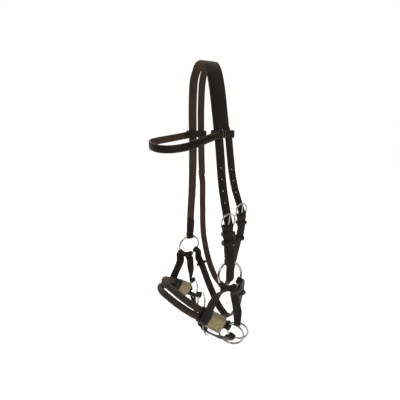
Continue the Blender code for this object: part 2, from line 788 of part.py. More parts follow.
def make_nose_ends():
    inside = (TUBE_APART + 2 * TUBE_RADIUS + 1.1, 2 * TUBE_RADIUS + 1.0)
    for label, side in SIDES.items():
        for name, kind, start, end, wall in (("nose_pad_", "fleece", 1, 35, 2.7), ("nose_wrap_", "leather", 35.6, 57, 1.8)):
            outline = round_box(inside[0] + 2 * wall, inside[1] + 2 * wall, 2.5)
            bm = sleeve_mesh(nose_frames(side, start, end, 6), outline, round_box(*inside, 0.8))
            add_node(name + label, bm, kind, NOSE_AXIS)


def make_tabs(label, side):
    """Two straps out of the back of the pad: the upper one holds the jaw ring, the lower one the rein ring."""
    route = nose_route() if side == NEAR else list(reversed(nose_route()))
    root, mouth = stretch(route, 2, 10, 1)[::-1]
    rearward = (mouth - root).normalized()
    for name, place, angle, facing_at, size, row, bend in (
        ("jaw_ring_tab_", JAW_CENTRE, JAW_TAB_AT, JAW_FACING, JAW_RING, 7.4, None),
        ("rein_ring_tab_", REIN_CENTRE, REIN_TAB_AT, REIN_FACING, REIN_RING, -7.4, REIN_TAB_BEND),
    ):
        plane = facing(side, *facing_at)
        wire_point = ring_point(centre(place, side), plane, size[0], angle)
        along = ring_along(plane, angle)
        start = root + NOSE_UP * row
        points = [start, mouth + NOSE_UP * row]
        if bend:
            points += on_side(bend, side)
        else:
            points.append(points[-1] + rearward * 4)
        points = smooth(points, 2)
        points = looped_end(points, wire_point, along, plane[2], size[1], 4)
        across = turning(points, NOSE_UP, along, wire_point, 12)
        ribbon(name + label, points, across, 10.5, "leather", 2.2, NOSE_AXIS)


# Under the jaw


def hanging_half(route, side, place, plane, angle, size, usual, width, narrow, out, tail_length):
    """Half of a strap that hangs between two rings, from its lowest point to its loop: points, across, widths."""
    wire_point = ring_point(centre(place, side), plane, size[0], angle)
    along = ring_along(plane, angle)
    line = list(reversed(smooth(on_side(route, side), 3)))
    points = looped_end(line, wire_point, along, Vector((out.x, side * out.y, out.z)), size[1], tail_length)
    turned = along if along.dot(usual) > 0 else -along
    return points, turning(points, usual, turned, wire_point, 26), narrowed(points, width, [wire_point], narrow)


def joined(near, far):
    """Near half and far half as one line, from the near end to the far end."""
    return [[*reversed(a), *b[1:]] for a, b in zip(near, far)]


def make_jaw_strap():
    halves = [
        hanging_half(JAW, side, CHEEK_CENTRE, cheek_plane(side), JAW_LOOP_AT, CHEEK_RING, JAW_ACROSS,
                     JAW_WIDTH, 13, Y, 32)
        for side in (NEAR, FAR)
    ]
    points, across, widths = joined(*halves)
    ribbon("jaw_strap", points, across, widths, "strap", pivot=NOSE_AXIS)
    for label, half in zip(SIDES, halves):
        make_jaw_keeper(label, half[0], half[1])


def make_jaw_keeper(label, points, across):
    """The keeper that holds the turned-back end of the jaw strap, a little below its ring."""
    side = SIDES[label]
    i = next(k for k, p in enumerate(points) if p.z > JAW_KEEPER_Z)
    a, b = points[i - 1], points[i]
    share = (JAW_KEEPER_Z - a.z) / (b.z - a.z)
    middle = a.lerp(b, share)
    along = (b - a).normalized()
    turned = across[i - 1].lerp(across[i], share)
    wide = (turned - along * turned.dot(along)).normalized()
    out = wide.cross(along)
    if out.y * side < 0:
        out = -out
    keeper("jaw_keeper_" + label, middle - out * (LAYER / 2 + 0.5), (wide, along, out), (JAW_WIDTH + 3.2, 2 * LAYER + 3.8))


def chin_half(side):
    plane = facing(side, *JAW_FACING)
    return hanging_half(CHIN, side, JAW_CENTRE, plane, CHIN_LOOP_AT, JAW_RING, CHIN_ACROSS,
                        CHIN_WIDTH, 12, CHIN_LOOP_OUT, 16)


def chin_base():
    """Middle line of the chin strap from side to side, without its loops."""
    near = smooth(on_side(CHIN, NEAR), 4)
    far = smooth(on_side(CHIN[:-1], FAR), 4)
    return [*near, *reversed(far)]


def chin_pivot():
    point = ring_point(centre(JAW_CENTRE, NEAR), facing(NEAR, *JAW_FACING), JAW_RING[0], CHIN_LOOP_AT)
    return (point.x, 0, point.z)


def chin_bar_frame():
    """The chin buckle's frame; its strap comes from the far side and the billet from the near side."""
    base = chin_base()
    i = next(k for k, p in enumerate(base) if p.y > CHIN_BAR_AT)
    middle = base[i - 1].lerp(base[i], (CHIN_BAR_AT - base[i - 1].y) / (base[i].y - base[i - 1].y))
    up = (base[i - 1] - base[i]).normalized()
    across = (CHIN_ACROSS - up * CHIN_ACROSS.dot(up)).normalized()
    out = across.cross(up)
    return (middle, across, up, out) if out.z < 0 else (middle, -across, up, -out)


def off_chin(points, lifts):
    """Chin strap points moved off the jaw by the lifts."""
    found = frames(points, CHIN_ACROSS)
    return [p + (n if n.z < 0 else -n) * lift for (p, _, n), lift in zip(found, lifts)]


def make_chin_strap():
    middle, across, up, out = chin_bar_frame()
    base = chin_base()
    near, near_across, near_widths = chin_half(NEAR)
    bar = middle.y
    heights = [bar + y for y in (-38, -30, -21, -15, -7, 0, 4, 9, 15, 21, 27)]
    low = [point_at_y(base, y) for y in heights]
    billet_low = off_chin(low, [billet_lift(bar - y) for y in heights])
    loop = [i for i, p in enumerate(near) if p.y < bar - 42 and i > 0]
    points = [*[near[i] for i in reversed(loop)], *billet_low]
    turned = [*[near_across[i] for i in reversed(loop)], *[CHIN_ACROSS] * len(billet_low)]
    widths = [*[near_widths[i] for i in reversed(loop)], *[CHIN_WIDTH - 2] * len(billet_low)]
    billet_end = ribbon("chin_billet", points, turned, widths, "strap", pivot=chin_pivot())
    hole = box_mesh(middle + up * 5.2 + out * 4.5, (across, up, out), (4.0, 9.6, 9))
    cut(billet_end, add_node("billet_slot_chin", hole, "leather"))
    far, far_across, far_widths = chin_half(FAR)
    radius = CHIN_WIRE + 0.5 + LEATHER / 2
    turns = [math.radians(a) for a in range(-90, 91, 30)]
    fold = [middle + radius * (math.cos(a) * up + math.sin(a) * out) for a in turns]
    heights = [bar + y for y in (9, 14, 20, 27)]
    low = [point_at_y(base, y) for y in heights]
    outer = off_chin(low, [LAYER / 2, LAYER / 2, LAYER / 2, LAYER / 4])
    inner = off_chin(low[:3], [-LAYER / 2] * 3)
    rest = [i for i, p in enumerate(far) if p.y > bar + 33]
    points = [*reversed(inner), *fold, *outer, *[far[i] for i in rest]]
    count = len(inner) + len(fold) + len(outer)
    turned = [*[CHIN_ACROSS] * count, *[far_across[i] for i in rest]]
    widths = [*[CHIN_WIDTH - 2] * count, *[far_widths[i] for i in rest]]
    strap = ribbon("chin_strap", points, turned, widths, "strap", pivot=chin_pivot())
    tongue_slot("chin_tongue_slot", strap, (middle, across, up, out))
    make_buckle("chin", (middle, across, up, out), 9.9, 8.3, CHIN_WIRE)
    place = point_at_y(base, bar + 15)
    keeper("chin_keeper", place + out * LAYER / 2, (across, up, out), (CHIN_WIDTH - 0.8, 3 * LAYER + 1.4), height=6)


def point_at_y(points, y):
    for a, b in zip(points, points[1:]):
        if a.y <= y <= b.y:
            return a.lerp(b, (y - a.y) / (b.y - a.y))
    return points[-1]


def main():
    clear_scene()
    make_crown()
    make_browband()
    make_cheekpiece()
    make_throat_latch()
    make_buckle("cheek", bar_frame(front_route(NEAR), CHEEK_BAR_Z), 14.4, 11.5)
    make_buckle("throat", bar_frame(rear_route(NEAR), THROAT_BAR_Z), 11.6, 12.5)
    make_headstall_keepers()
    make_rings()
    for label, side in SIDES.items():
        make_yoke(label, side)
        make_tabs(label, side)
    make_nose_tubes()
    make_nose_ends()
    make_jaw_strap()
    make_chin_strap()


main()
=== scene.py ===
"""Looks of the bitless hackamore: leather straps, rolled noseband, wool pads and steel rings."""

import math
import random

import bmesh
import bpy
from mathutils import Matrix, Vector


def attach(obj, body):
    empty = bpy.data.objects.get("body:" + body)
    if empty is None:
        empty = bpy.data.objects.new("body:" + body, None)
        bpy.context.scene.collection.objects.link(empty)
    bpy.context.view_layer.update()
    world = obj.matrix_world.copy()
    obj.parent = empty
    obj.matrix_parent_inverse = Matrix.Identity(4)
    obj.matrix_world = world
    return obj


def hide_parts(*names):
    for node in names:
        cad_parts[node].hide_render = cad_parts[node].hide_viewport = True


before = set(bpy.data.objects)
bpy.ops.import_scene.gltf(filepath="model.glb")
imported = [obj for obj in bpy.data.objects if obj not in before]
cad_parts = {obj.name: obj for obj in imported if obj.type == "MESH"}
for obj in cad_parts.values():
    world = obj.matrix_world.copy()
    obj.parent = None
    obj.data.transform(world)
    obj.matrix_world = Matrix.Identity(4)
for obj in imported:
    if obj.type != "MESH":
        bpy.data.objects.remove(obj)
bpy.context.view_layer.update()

MM = 0.001
NEAR, FAR = -1, 1
SIDES = {"near": NEAR, "far": FAR}
X, Y, Z = Vector((1, 0, 0)), Vector((0, 1, 0)), Vector((0, 0, 1))
DRAW = random.Random(7)

# Sizes in millimetres, the same as the solids'
LEATHER = 2.6
LAYER = LEATHER + 0.4
FRONT_WIDTH, REAR_WIDTH, CHEEK_WIDTH = 18.5, 15.5, 22.0
BROW_HEIGHT, LEG_WIDTH, JAW_WIDTH, CHIN_WIDTH = 14.5, 19.0, 17.0, 15.0
LOOP_PLAY = 1.4
CHEEK_RING, REIN_RING, JAW_RING = (25.5, 2.4), (26.0, 2.4), (20.5, 2.2)
CHEEK_CENTRE, CHEEK_TILT = (17.5, 93.0, -400.5), math.radians(12)
REIN_CENTRE, REIN_FACING = (39.5, 69.0, -550.0), (math.radians(44), math.radians(-8))
JAW_CENTRE, JAW_FACING = (33.5, 100.0, -521.5), (math.radians(40), math.radians(-11))
YOKE_FROM, YOKE_TO = math.radians(-66), math.radians(24)
JAW_LOOP_AT = math.radians(52)
BUCKLE_WIRE, CHIN_WIRE, BUCKLE_LEAN = 1.6, 1.3, math.radians(20)
CHEEK_BAR_Z, THROAT_BAR_Z = -306.0, -288.0
FOLD_OVER = BUCKLE_WIRE + 0.5 + LEATHER + 0.4 + LEATHER / 2
BILLET_END_Z, SPLICE_Z = -346.0, -226.0
BILLET_TAIL = [
    (16.8, 90.6, -352), (16.2, 94.8, -365), (15.6, 96.7, -376), (14.8, 97.4, -394), (14.2, 98, -412),
]
BILLET_LIFTS = [(-9, LAYER * 1.5), (0, FOLD_OVER), (15, 2.1), (21, 1.5), (38, 0.0)]
CHEEK_BUCKLE, THROAT_BUCKLE, CHIN_BUCKLE = (14.4, 11.5), (11.6, 12.5), (9.9, 8.3)
KEEPER_WALL, STITCH_PITCH = 1.5, 3.0

# Strap routes as (x, distance from the middle, z), from the poll down
CROWN = [
    (14, 7, 1.3), (14, 16, -1.2), (13.7, 26, -9.5), (14, 33.5, -22), (14.8, 39, -39),
    (16, 44, -62), (17.2, 48.5, -90), (18, 52, -110), (18.4, 53.7, -121),
]
NEAR_FRONT_TAIL = [
    (10.6, 55, -137), (12, 57.2, -160), (13, 59.5, -184), (13.8, 62, -209), (15, 66.5, -238),
    (16.8, 73, -268), (17.6, 78.2, -292), (17.6, 81.4, -316), (17.4, 84.6, -340), (17.5, 87.2, -362),
]
NEAR_REAR_TAIL = [
    (31.2, 56, -137), (33, 58.4, -160), (35, 60.5, -184), (37.2, 63, -209), (41.5, 67.5, -238),
    (47, 75, -268), (48.8, 79, -290), (48.4, 79, -310), (46.8, 77, -328),
]
FAR_FRONT_TAIL = [
    (10, 53.5, -133), (11.5, 56, -158), (12.4, 58.5, -183), (13.3, 61.5, -208), (14.5, 66, -238),
    (16.5, 73, -268), (17, 78, -292), (17, 81, -316), (17.2, 84.4, -340), (17.5, 87.2, -362),
]
FAR_REAR_TAIL = [
    (31, 55, -133), (32.5, 57, -158), (34, 59, -183), (36.5, 62, -208), (41, 67, -238),
    (45.5, 75, -268), (47.5, 79, -290), (48, 79, -310), (47, 77, -328),
]
FAR_FRONT_TOP = [(7, 28, -9), (6.2, 36.5, -21), (5.8, 41, -37), (5.8, 44, -62), (7.2, 48.5, -92)]
FAR_REAR_TOP = [(24.9, 28, -9), (25.6, 36.5, -21), (25.5, 41, -37), (26, 44.5, -62), (27.5, 49, -92)]
THROAT_LOW = [
    (45.5, 73, -348), (44.5, 68, -368), (45, 62, -388), (46, 55, -408), (48, 46, -430),
    (50.5, 34.5, -449), (53, 21, -464), (55, 0, -472),
]
BROW_NEAR = [
    (22, 60.6, -134), (0, 60.2, -138), (-25, 58.5, -147), (-49, 53.5, -155.5), (-75, 43, -160.5),
    (-95, 25, -160.5), (-103, 0, -156),
]
BROW_FAR = [
    (22, 60.6, -132.8), (0, 60.2, -135.5), (-26, 59, -140), (-52, 54, -144), (-77, 43, -147.5),
    (-96, 24, -151),
]
BROW_LOOP = [
    (-1.6, 58.8), (9, 58.8), (32, 60), (40.5, 59.6), (42.3, 56.5),
    (40.5, 51.2), (30, 50.6), (9, 49.6), (-1.6, 50), (-3.1, 54.5),
]
NOSE = [
    (-5, 80, -503), (-27, 74, -487), (-52, 61, -470), (-71, 40, -455.5), (-81, 18, -448), (-84, 0, -446.5),
]
NOSE_UP = Vector((0.59, 0, 0.81))
TUBE_RADIUS, CORE_RADIUS = 6.8, 4.3
TUBE_APART, TUBE_BOW, TUBE_INSET = 14.2, 1.2, 12.0
JAW_TAB_AT, REIN_TAB_AT = math.radians(-112), math.radians(-165)
REIN_TAB_BEND = [(18.5, 73.5, -522)]
FRONT_LEG = [(-8, 90.5, -437), (-20, 87.5, -458), (-30, 87, -478), (-38, 87.8, -493)]
REAR_LEG = [(23.5, 101, -441), (26, 104, -459), (28.5, 105.3, -476)]
JAW = [
    (44, 94, -437), (48, 85, -453), (51.5, 76, -470), (56, 64, -494), (60.5, 45, -520), (64, 24, -541),
    (66, 0, -550),
]
JAW_KEEPER_Z = -451.0
JAW_ACROSS = Vector((0.98, 0, 0.19))
CHIN_ACROSS = Vector((0.62, 0, -0.78))
CHIN_LOOP_AT, CHIN_LOOP_OUT = math.radians(-35), Vector((0.2, 0.3, -1))
CHIN = [(22, 76, -551), (15, 52, -560), (13, 26, -567), (12.5, 0, -570)]
CHIN_BAR_AT = 0.0
TAB_WIDTH, TAB_ROW, TAB_LEATHER = 10.5, 7.4, 2.2
PAD_SPAN, WRAP_SPAN = (1.2, 35), (35.6, 57)
PAD_MARKS, PAD_TUFTS, PAD_LUMPS = 60, 2600, 190

# Widths where the straps pass round a ring, and the lengths stitched back there
FAR_NARROW, CHEEK_NARROW, YOKE_NARROW, JAW_NARROW, CHIN_NARROW = 15.0, 14.6, 13.0, 13.0, 12.0
FAR_BACK, CHEEK_BACK, YOKE_BACK, TAB_BACK, JAW_BACK, CHIN_BACK = 52, 14, 16, 4, 32, 16

# The studio, in metres
CAMERA_PLACE, CAMERA_TARGET, CAMERA_LENS = (-0.283, -0.551, -0.140), (0, 0, -0.268), 27.3
LIGHT_TARGET = (0, 0, -0.3)
FLOOR_Z, FLOOR_RADIUS, FLOOR_GLOW = -0.80, 6.0, 0.385


# Materials


class Nodes:
    """A short way to build a material's nodes."""

    def __init__(self, name):
        self.material = bpy.data.materials.new(name)
        self.material.use_nodes = True
        self.tree = self.material.node_tree
        self.shader = self.tree.nodes["Principled BSDF"]
        coord = self.tree.nodes.new("ShaderNodeTexCoord")
        self.place = coord.outputs["Object"]

    def new(self, kind, inputs=(), **settings):
        node = self.tree.nodes.new(kind)
        for key, value in settings.items():
            setattr(node, key, value)
        for key, value in dict(inputs).items():
            self.put(node.inputs[key], value)
        return node

    def put(self, socket, value):
        if isinstance(value, bpy.types.NodeSocket):
            self.tree.links.new(value, socket)
        else:
            socket.default_value = value

    def noise(self, scale, detail=3.0, rough=0.55):
        made = self.new(
            "ShaderNodeTexNoise",
            {"Vector": self.place, "Scale": scale, "Detail": detail, "Roughness": rough},
        )
        return made.outputs["Fac"]

    def cells(self, scale):
        made = self.new("ShaderNodeTexVoronoi", {"Vector": self.place, "Scale": scale})
        return made.outputs["Distance"]

    def ramp(self, value, low, high, start=0.0, end=1.0):
        made = self.new(
            "ShaderNodeMapRange",
            {"Value": value, "From Min": low, "From Max": high, "To Min": start, "To Max": end},
        )
        return made.outputs["Result"]

    def math(self, kind, a, b):
        made = self.new("ShaderNodeMath", {0: a, 1: b}, operation=kind)
        return made.outputs["Value"]

    def mix(self, share, a, b):
        made = self.new("ShaderNodeMix", data_type="RGBA")
        self.put(made.inputs[0], share)
        self.put(made.inputs[6], (*a, 1) if isinstance(a, tuple) else a)
        self.put(made.inputs[7], (*b, 1) if isinstance(b, tuple) else b)
        return made.outputs[2]

    def edges(self):
        """How strongly a convex edge gets the pale edge colour, rubbed wear and painted highlight, from 0 on
        flats.
        """
        point = self.new("ShaderNodeNewGeometry").outputs["Pointiness"]
        return self.ramp(point, 0.505, 0.56)

    def bump(self, height, strength, distance, under=None):
        made = self.new("ShaderNodeBump", {"Height": height, "Strength": strength, "Distance": distance})
        if under:
            self.put(made.inputs["Normal"], under)
        return made.outputs["Normal"]

    def finish(self, **values):
        names = {
            "colour": "Base Color", "rough": "Roughness", "metal": "Metallic", "normal": "Normal",
            "sheen": "Sheen Weight", "specular": "Specular IOR Level", "sheen_rough": "Sheen Roughness",
        }
        for key, value in values.items():
            if isinstance(value, tuple) and key == "colour":
                value = (*value, 1)
            self.put(self.shader.inputs[names[key]], value)
        return self.material


def grain_leather(name, base, warm, pale_edge_colour, rough=0.42, grain=950.0):
    """Waxed grain side: fine pebbles and pores, faint creases, colour drift, and paler convex edges and
    folds that are partly rubbed wear and partly painted highlight.
    """
    n = Nodes(name)
    drift = n.ramp(n.noise(28.0, 4.0), 0.38, 0.66)
    colour = n.mix(drift, base, warm)
    # Painted highlight and wear: convex edges and folds turn paler in patches
    edge_wear_and_highlight = n.math("MULTIPLY", n.edges(), n.ramp(n.noise(160.0), 0.35, 0.6))
    colour = n.mix(n.math("MULTIPLY", edge_wear_and_highlight, 0.55), colour, pale_edge_colour)
    pebble = n.cells(grain)
    creases = n.ramp(n.noise(210.0, 5.0, 0.65), 0.3, 0.7)
    low = n.bump(creases, 0.25, 0.0004)
    normal = n.bump(pebble, 0.22, 0.00022, low)
    shine = n.ramp(n.noise(75.0, 4.0), 0.3, 0.7, rough - 0.09, rough + 0.12)
    return n.finish(colour=colour, rough=shine, normal=normal, specular=0.13)


def flesh_leather(name, base, warm):
    """The brown inner side: matte, fibrous, with short nap."""
    n = Nodes(name)
    drift = n.ramp(n.noise(34.0, 5.0, 0.6), 0.36, 0.66)
    fibre = n.noise(900.0, 6.0, 0.7)
    nap = tuple(c * 2.2 for c in warm)
    colour = n.mix(n.ramp(fibre, 0.3, 0.75, 0.0, 0.35), n.mix(drift, base, warm), nap)
    return n.finish(colour=colour, rough=0.78, normal=n.bump(fibre, 0.5, 0.0004), specular=0.12, sheen=0.05)


def edge_leather(name, base, pale_edge_colour):
    """Burnished cut edge: layered fibres, slightly shiny."""
    n = Nodes(name)
    fibre = n.noise(700.0, 4.0, 0.6)
    colour = n.mix(n.ramp(fibre, 0.4, 0.75), base, pale_edge_colour)
    return n.finish(colour=colour, rough=0.5, normal=n.bump(fibre, 0.3, 0.0003), specular=0.2)


def steel(name, tint, rough):
    """Nickel-plated steel: polish haze, fine rubs and darker film in places."""
    n = Nodes(name)
    film = n.ramp(n.noise(60.0, 5.0, 0.6), 0.35, 0.7)
    dull = tuple(c * 0.72 for c in tint)
    colour = n.mix(film, tint, dull)
    rubs = n.noise(420.0, 6.0, 0.7)
    shine = n.ramp(rubs, 0.3, 0.75, rough - 0.05, rough + 0.13)
    return n.finish(colour=colour, rough=shine, metal=1.0, normal=n.bump(rubs, 0.06, 0.0002))


def thread(name, colour):
    n = Nodes(name)
    twist = n.noise(1400.0, 2.0)
    shade = n.mix(n.ramp(twist, 0.35, 0.7), colour, tuple(c * 0.6 for c in colour))
    return n.finish(colour=shade, rough=0.6, normal=n.bump(twist, 0.4, 0.0003), sheen=0.1)


def wool(name, base, deep, tip):
    """Sheared wool: clumped colour, rough and sheeny."""
    n = Nodes(name)
    clump = n.ramp(n.noise(170.0, 5.0, 0.6), 0.32, 0.7)
    fine = n.noise(1500.0, 4.0, 0.7)
    colour = n.mix(clump, deep, base)
    colour = n.mix(n.ramp(fine, 0.45, 0.8), colour, tip)
    pile = n.bump(fine, 0.8, 0.0009)
    return n.finish(colour=colour, rough=0.95, normal=pile, sheen=0.35, sheen_rough=0.5, specular=0.15)


def rope_fibre(name):
    n = Nodes(name)
    fibre = n.noise(1100.0, 4.0, 0.7)
    colour = n.mix(n.ramp(fibre, 0.3, 0.7), (0.42, 0.33, 0.2), (0.6, 0.5, 0.34))
    return n.finish(colour=colour, rough=0.9, normal=n.bump(fibre, 0.6, 0.0004), sheen=0.2)


# The third colour of each grain leather is the paler colour of its convex edges and folds: partly rubbed
# wear, partly painted highlight
GRAIN = grain_leather(
    "bridle_grain", (0.0110, 0.0074, 0.0054), (0.0170, 0.0112, 0.0080), (0.070, 0.042, 0.026)
)
SIDE_GRAIN = grain_leather(
    "side_grain", (0.0065, 0.0048, 0.0036), (0.0100, 0.0073, 0.0055), (0.045, 0.031, 0.021), 0.4
)
FLESH = flesh_leather("bridle_flesh", (0.031, 0.0170, 0.0108), (0.051, 0.028, 0.0175))
DARK_FLESH = flesh_leather("side_flesh", (0.0120, 0.0086, 0.0066), (0.020, 0.0142, 0.0108))
EDGE = edge_leather("burnished_edge", (0.020, 0.013, 0.009), (0.062, 0.036, 0.022))
ROLLED = grain_leather(
    "rolled_grain", (0.0245, 0.0165, 0.0112), (0.046, 0.031, 0.021), (0.115, 0.080, 0.055), 0.6, 620.0
)
STEEL = steel("nickel_steel", (0.47, 0.465, 0.45), 0.2)
THREAD = thread("waxed_thread", (0.25, 0.19, 0.13))
DARK_THREAD = thread("dark_thread", (0.070, 0.045, 0.030))
WOOL = wool("pad_wool", (0.41, 0.325, 0.170), (0.22, 0.165, 0.085), (0.56, 0.47, 0.29))
ROPE = rope_fibre("rope_fibre")
STRAP_FINISH = (GRAIN, EDGE, FLESH)
SIDE_FINISH = (SIDE_GRAIN, EDGE, DARK_FLESH)


# Lines and frames


def on_side(points, side):
    return [Vector((x, side * y, z)) for x, y, z in points]


def smooth(points, per=3):
    """A Catmull-Rom curve through the points."""
    points = [Vector(p) for p in points]
    ends = [2 * points[0] - points[1], *points, 2 * points[-1] - points[-2]]
    out = []
    for a, b, c, d in zip(ends, ends[1:], ends[2:], ends[3:]):
        for i in range(per):
            t = i / per
            square, cube = 2 * a - 5 * b + 4 * c - d, 3 * b - a - 3 * c + d
            out.append(0.5 * (2 * b + (c - a) * t + square * t**2 + cube * t**3))
    return [*out, points[-1]]


def tangents(points):
    last = len(points) - 1
    return [(points[min(i + 1, last)] - points[max(i - 1, 0)]).normalized() for i in range(last + 1)]


def frames(points, across):
    """(point, across, face normal) at each point; across is one vector, or one for each point."""
    out = []
    for i, (point, along) in enumerate(zip(points, tangents(points))):
        wide = across[i] if isinstance(across, list) else across
        wide = (wide - along * wide.dot(along)).normalized()
        out.append((point, wide, wide.cross(along)))
    return out


def facing(side, turn, tip):
    """The (backward, upward, outward) unit vectors of a ring turned towards the nose and tipped."""
    out = Vector((-math.sin(turn) * math.cos(tip), side * math.cos(turn) * math.cos(tip), math.sin(tip)))
    back = Vector((math.cos(turn), side * math.sin(turn), 0))
    return back, out.cross(back) * (1 if side == NEAR else -1), out


def cheek_plane(side):
    sine, cosine = math.sin(CHEEK_TILT), math.cos(CHEEK_TILT)
    return X, Vector((0, -side * sine, cosine)), Vector((0, side * cosine, sine))


def centre(place, side):
    return Vector((place[0], side * place[1], place[2]))


def ring_point(middle, plane, radius, angle):
    back, up, _ = plane
    return middle + radius * (math.sin(angle) * back - math.cos(angle) * up)


def ring_along(plane, angle):
    back, up, _ = plane
    return turned_to(back, up, angle)


def ring_out(plane, angle):
    back, up, _ = plane
    return math.sin(angle) * back - math.cos(angle) * up


def hook(wire_point, wire_along, toward, out, wire):
    """Points of a strap's loop round a wire: past it on the out side and back on the inner side."""
    away = (toward - wire_along * toward.dot(wire_along)).normalized()
    over = (out - wire_along * out.dot(wire_along) - away * out.dot(away)).normalized()
    radius = wire + LOOP_PLAY + LEATHER / 2
    angles = [math.pi * i / 6 for i in range(7)]
    return [wire_point + radius * turned_to(over, away, a) for a in angles]


def looped_end(points, wire_point, wire_along, out, wire, tail_length):
    """A strap's end: its points, the loop round the wire, and a tail stitched back along its inner face."""
    toward = wire_point - points[-1]
    turn = hook(wire_point, wire_along, toward, out, wire)
    away = (toward - wire_along * toward.dot(wire_along)).normalized()
    inner = (turn[-1] - turn[0]).normalized()
    ease = 0.35 * (turn[-1] - turn[0]).length
    lead = turn[0] - away * 7 + inner * ease * 0.4
    back = turn[-1] - away * 8 - inner * ease * 0.7
    line = [p for p in points if (p - turn[0]).length > 9]
    tail_points, run = [], 0.0
    previous = lead
    for point, _, normal in reversed(frames(line, wire_along)):
        run += (point - previous).length
        previous = point
        if run > tail_length:
            break
        if normal.dot(inner) < 0:
            normal = -normal
        if (point - back).length > 4:
            tail_points.append(point + normal * LAYER)
    return [*line, lead, *turn, back, *tail_points]


def shifted(points, across, offsets, side):
    """The points moved off the strap's face, outwards for a positive offset."""
    out = []
    for i, (point, _, normal) in enumerate(frames(points, across)):
        if normal.y * side < 0:
            normal = -normal
        out.append(point + normal * (offsets[i] if isinstance(offsets, list) else offsets))
    return out


def narrowed(points, width, places, narrow):
    """The strap's width at each point, eased down to the narrow one over 10 mm near the places."""
    out = []
    for point in points:
        near = min((point - place).length for place in places)
        share = min(1.0, max(0.0, (near - 6.0) / 10.0))
        out.append(narrow + (width - narrow) * share)
    return out


def turning(points, usual, at_ring, place, reach):
    """The strap's across direction at each point: its usual one, turned to the wire's near a ring."""
    out = []
    for point in points:
        share = min(1.0, max(0.0, ((point - place).length - 8.0) / reach))
        out.append((at_ring * (1 - share) + usual * share).normalized())
    return out


def length(points):
    return sum((b - a).length for a, b in zip(points, points[1:]))


def stretch(points, start, end, count):
    """Evenly spaced points of a line between two distances from its start."""
    out, run, i = [], 0.0, 0
    for k in range(count + 1):
        want = start + (end - start) * k / count
        while i < len(points) - 2 and run + (points[i + 1] - points[i]).length < want:
            run += (points[i + 1] - points[i]).length
            i += 1
        step = (points[i + 1] - points[i]).length
        out.append(points[i].lerp(points[i + 1], (want - run) / step))
    return out


class Line:
    """A strap's middle line with its across direction and width, redrawn at small even steps."""

    def __init__(self, points, across, width, step=2.2):
        count = len(points)
        turned = across if isinstance(across, list) else [across] * count
        widths = width if isinstance(width, list) else [width] * count
        self.points, self.across, self.widths = [], [], []
        ends = [points[0] * 2 - points[1], *points, points[-1] * 2 - points[-2]]
        for i in range(count - 1):
            a, b, c, d = ends[i : i + 4]
            pieces = max(1, round((c - b).length / step))
            for k in range(pieces):
                t = k / pieces
                self.points.append(curve_point(a, b, c, d, t))
                self.across.append(turned[i].lerp(turned[i + 1], t))
                self.widths.append(widths[i] + (widths[i + 1] - widths[i]) * t)
        self.points.append(points[-1].copy())
        self.across.append(turned[-1])
        self.widths.append(widths[-1])

    def frames(self):
        return frames(self.points, self.across)

    def distances(self):
        run, out = 0.0, [0.0]
        for a, b in zip(self.points, self.points[1:]):
            run += (b - a).length
            out.append(run)
        return out

    def part(self, keep):
        """The same line with only the points that pass the test."""
        chosen = [i for i, p in enumerate(self.points) if keep(p)]
        made = Line.__new__(Line)
        made.points = [self.points[i] for i in chosen]
        made.across = [self.across[i] for i in chosen]
        made.widths = [self.widths[i] for i in chosen]
        return made


def curve_point(a, b, c, d, t):
    """The point at share t between b and c, on a Catmull-Rom curve with centripetal spacing."""
    ta = max((b - a).length, 0.01) ** 0.5
    tb = max((c - b).length, 0.01) ** 0.5
    tc = max((d - c).length, 0.01) ** 0.5
    m1 = (c - b) + tb * ((b - a) / ta - (c - a) / (ta + tb))
    m2 = (c - b) + tb * ((d - c) / tc - (d - b) / (tb + tc))
    t2, t3 = t * t, t * t * t
    return b * (2 * t3 - 3 * t2 + 1) + m1 * (t3 - 2 * t2 + t) + c * (3 * t2 - 2 * t3) + m2 * (t3 - t2)


# Meshes


def new_object(name, bm):
    """A linked object made from the bmesh, which is freed."""
    mesh = bpy.data.meshes.new(name)
    bm.to_mesh(mesh)
    bm.free()
    obj = bpy.data.objects.new(name, mesh)
    bpy.context.scene.collection.objects.link(obj)
    return obj


def in_metres(name, bm):
    """A linked object made from a bmesh in millimetres, its faces turned outwards."""
    bmesh.ops.recalc_face_normals(bm, faces=bm.faces)
    bmesh.ops.scale(bm, verts=bm.verts, vec=(MM, MM, MM))
    return new_object(name, bm)


def add_piece(name, bm, materials, body, node=None):
    """A finished piece in metres that rides on a body and stands for its CAD node, if it has one."""
    obj = in_metres(name, bm)
    obj.data.shade_smooth()
    for material in materials:
        obj.data.materials.append(material)
    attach(obj, body)
    if node:
        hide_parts(node)
    return obj


def skin(bm, a, b):
    """Quads between two closed rings of vertices."""
    count = len(a)
    return [bm.faces.new((a[i], a[(i + 1) % count], b[(i + 1) % count], b[i])) for i in range(count)]


def strap_profile(width, thick):
    """A strap's section as (u, v, material): creased grain face, rounded edges and flat flesh side."""
    w, t = width / 2, thick / 2
    e = min(0.9, t * 0.8)
    groove = min(2.3, w * 0.32)
    top = [
        (-w + e * 0.6, t * 0.86, 0), (-w + groove - 0.5, t, 0), (-w + groove, t - 0.28, 0),
        (-w + groove + 0.55, t + 0.02, 0), (-w * 0.3, t + 0.13, 0), (w * 0.3, t + 0.13, 0),
        (w - groove - 0.55, t + 0.02, 0), (w - groove, t - 0.28, 0), (w - groove + 0.5, t, 0),
        (w - e * 0.6, t * 0.86, 1),
    ]
    right = [
        (w - e * 0.12, t * 0.45, 1), (w, 0, 1), (w - e * 0.12, -t * 0.5, 1), (w - e * 0.7, -t * 0.92, 2),
    ]
    low = [(w * 0.4, -t, 2), (-w * 0.4, -t, 2), (-w + e * 0.7, -t * 0.92, 1)]
    left = [(-w + e * 0.12, -t * 0.5, 1), (-w, 0, 1), (-w + e * 0.12, t * 0.45, 1)]
    return [*top, *right, *low, *left]


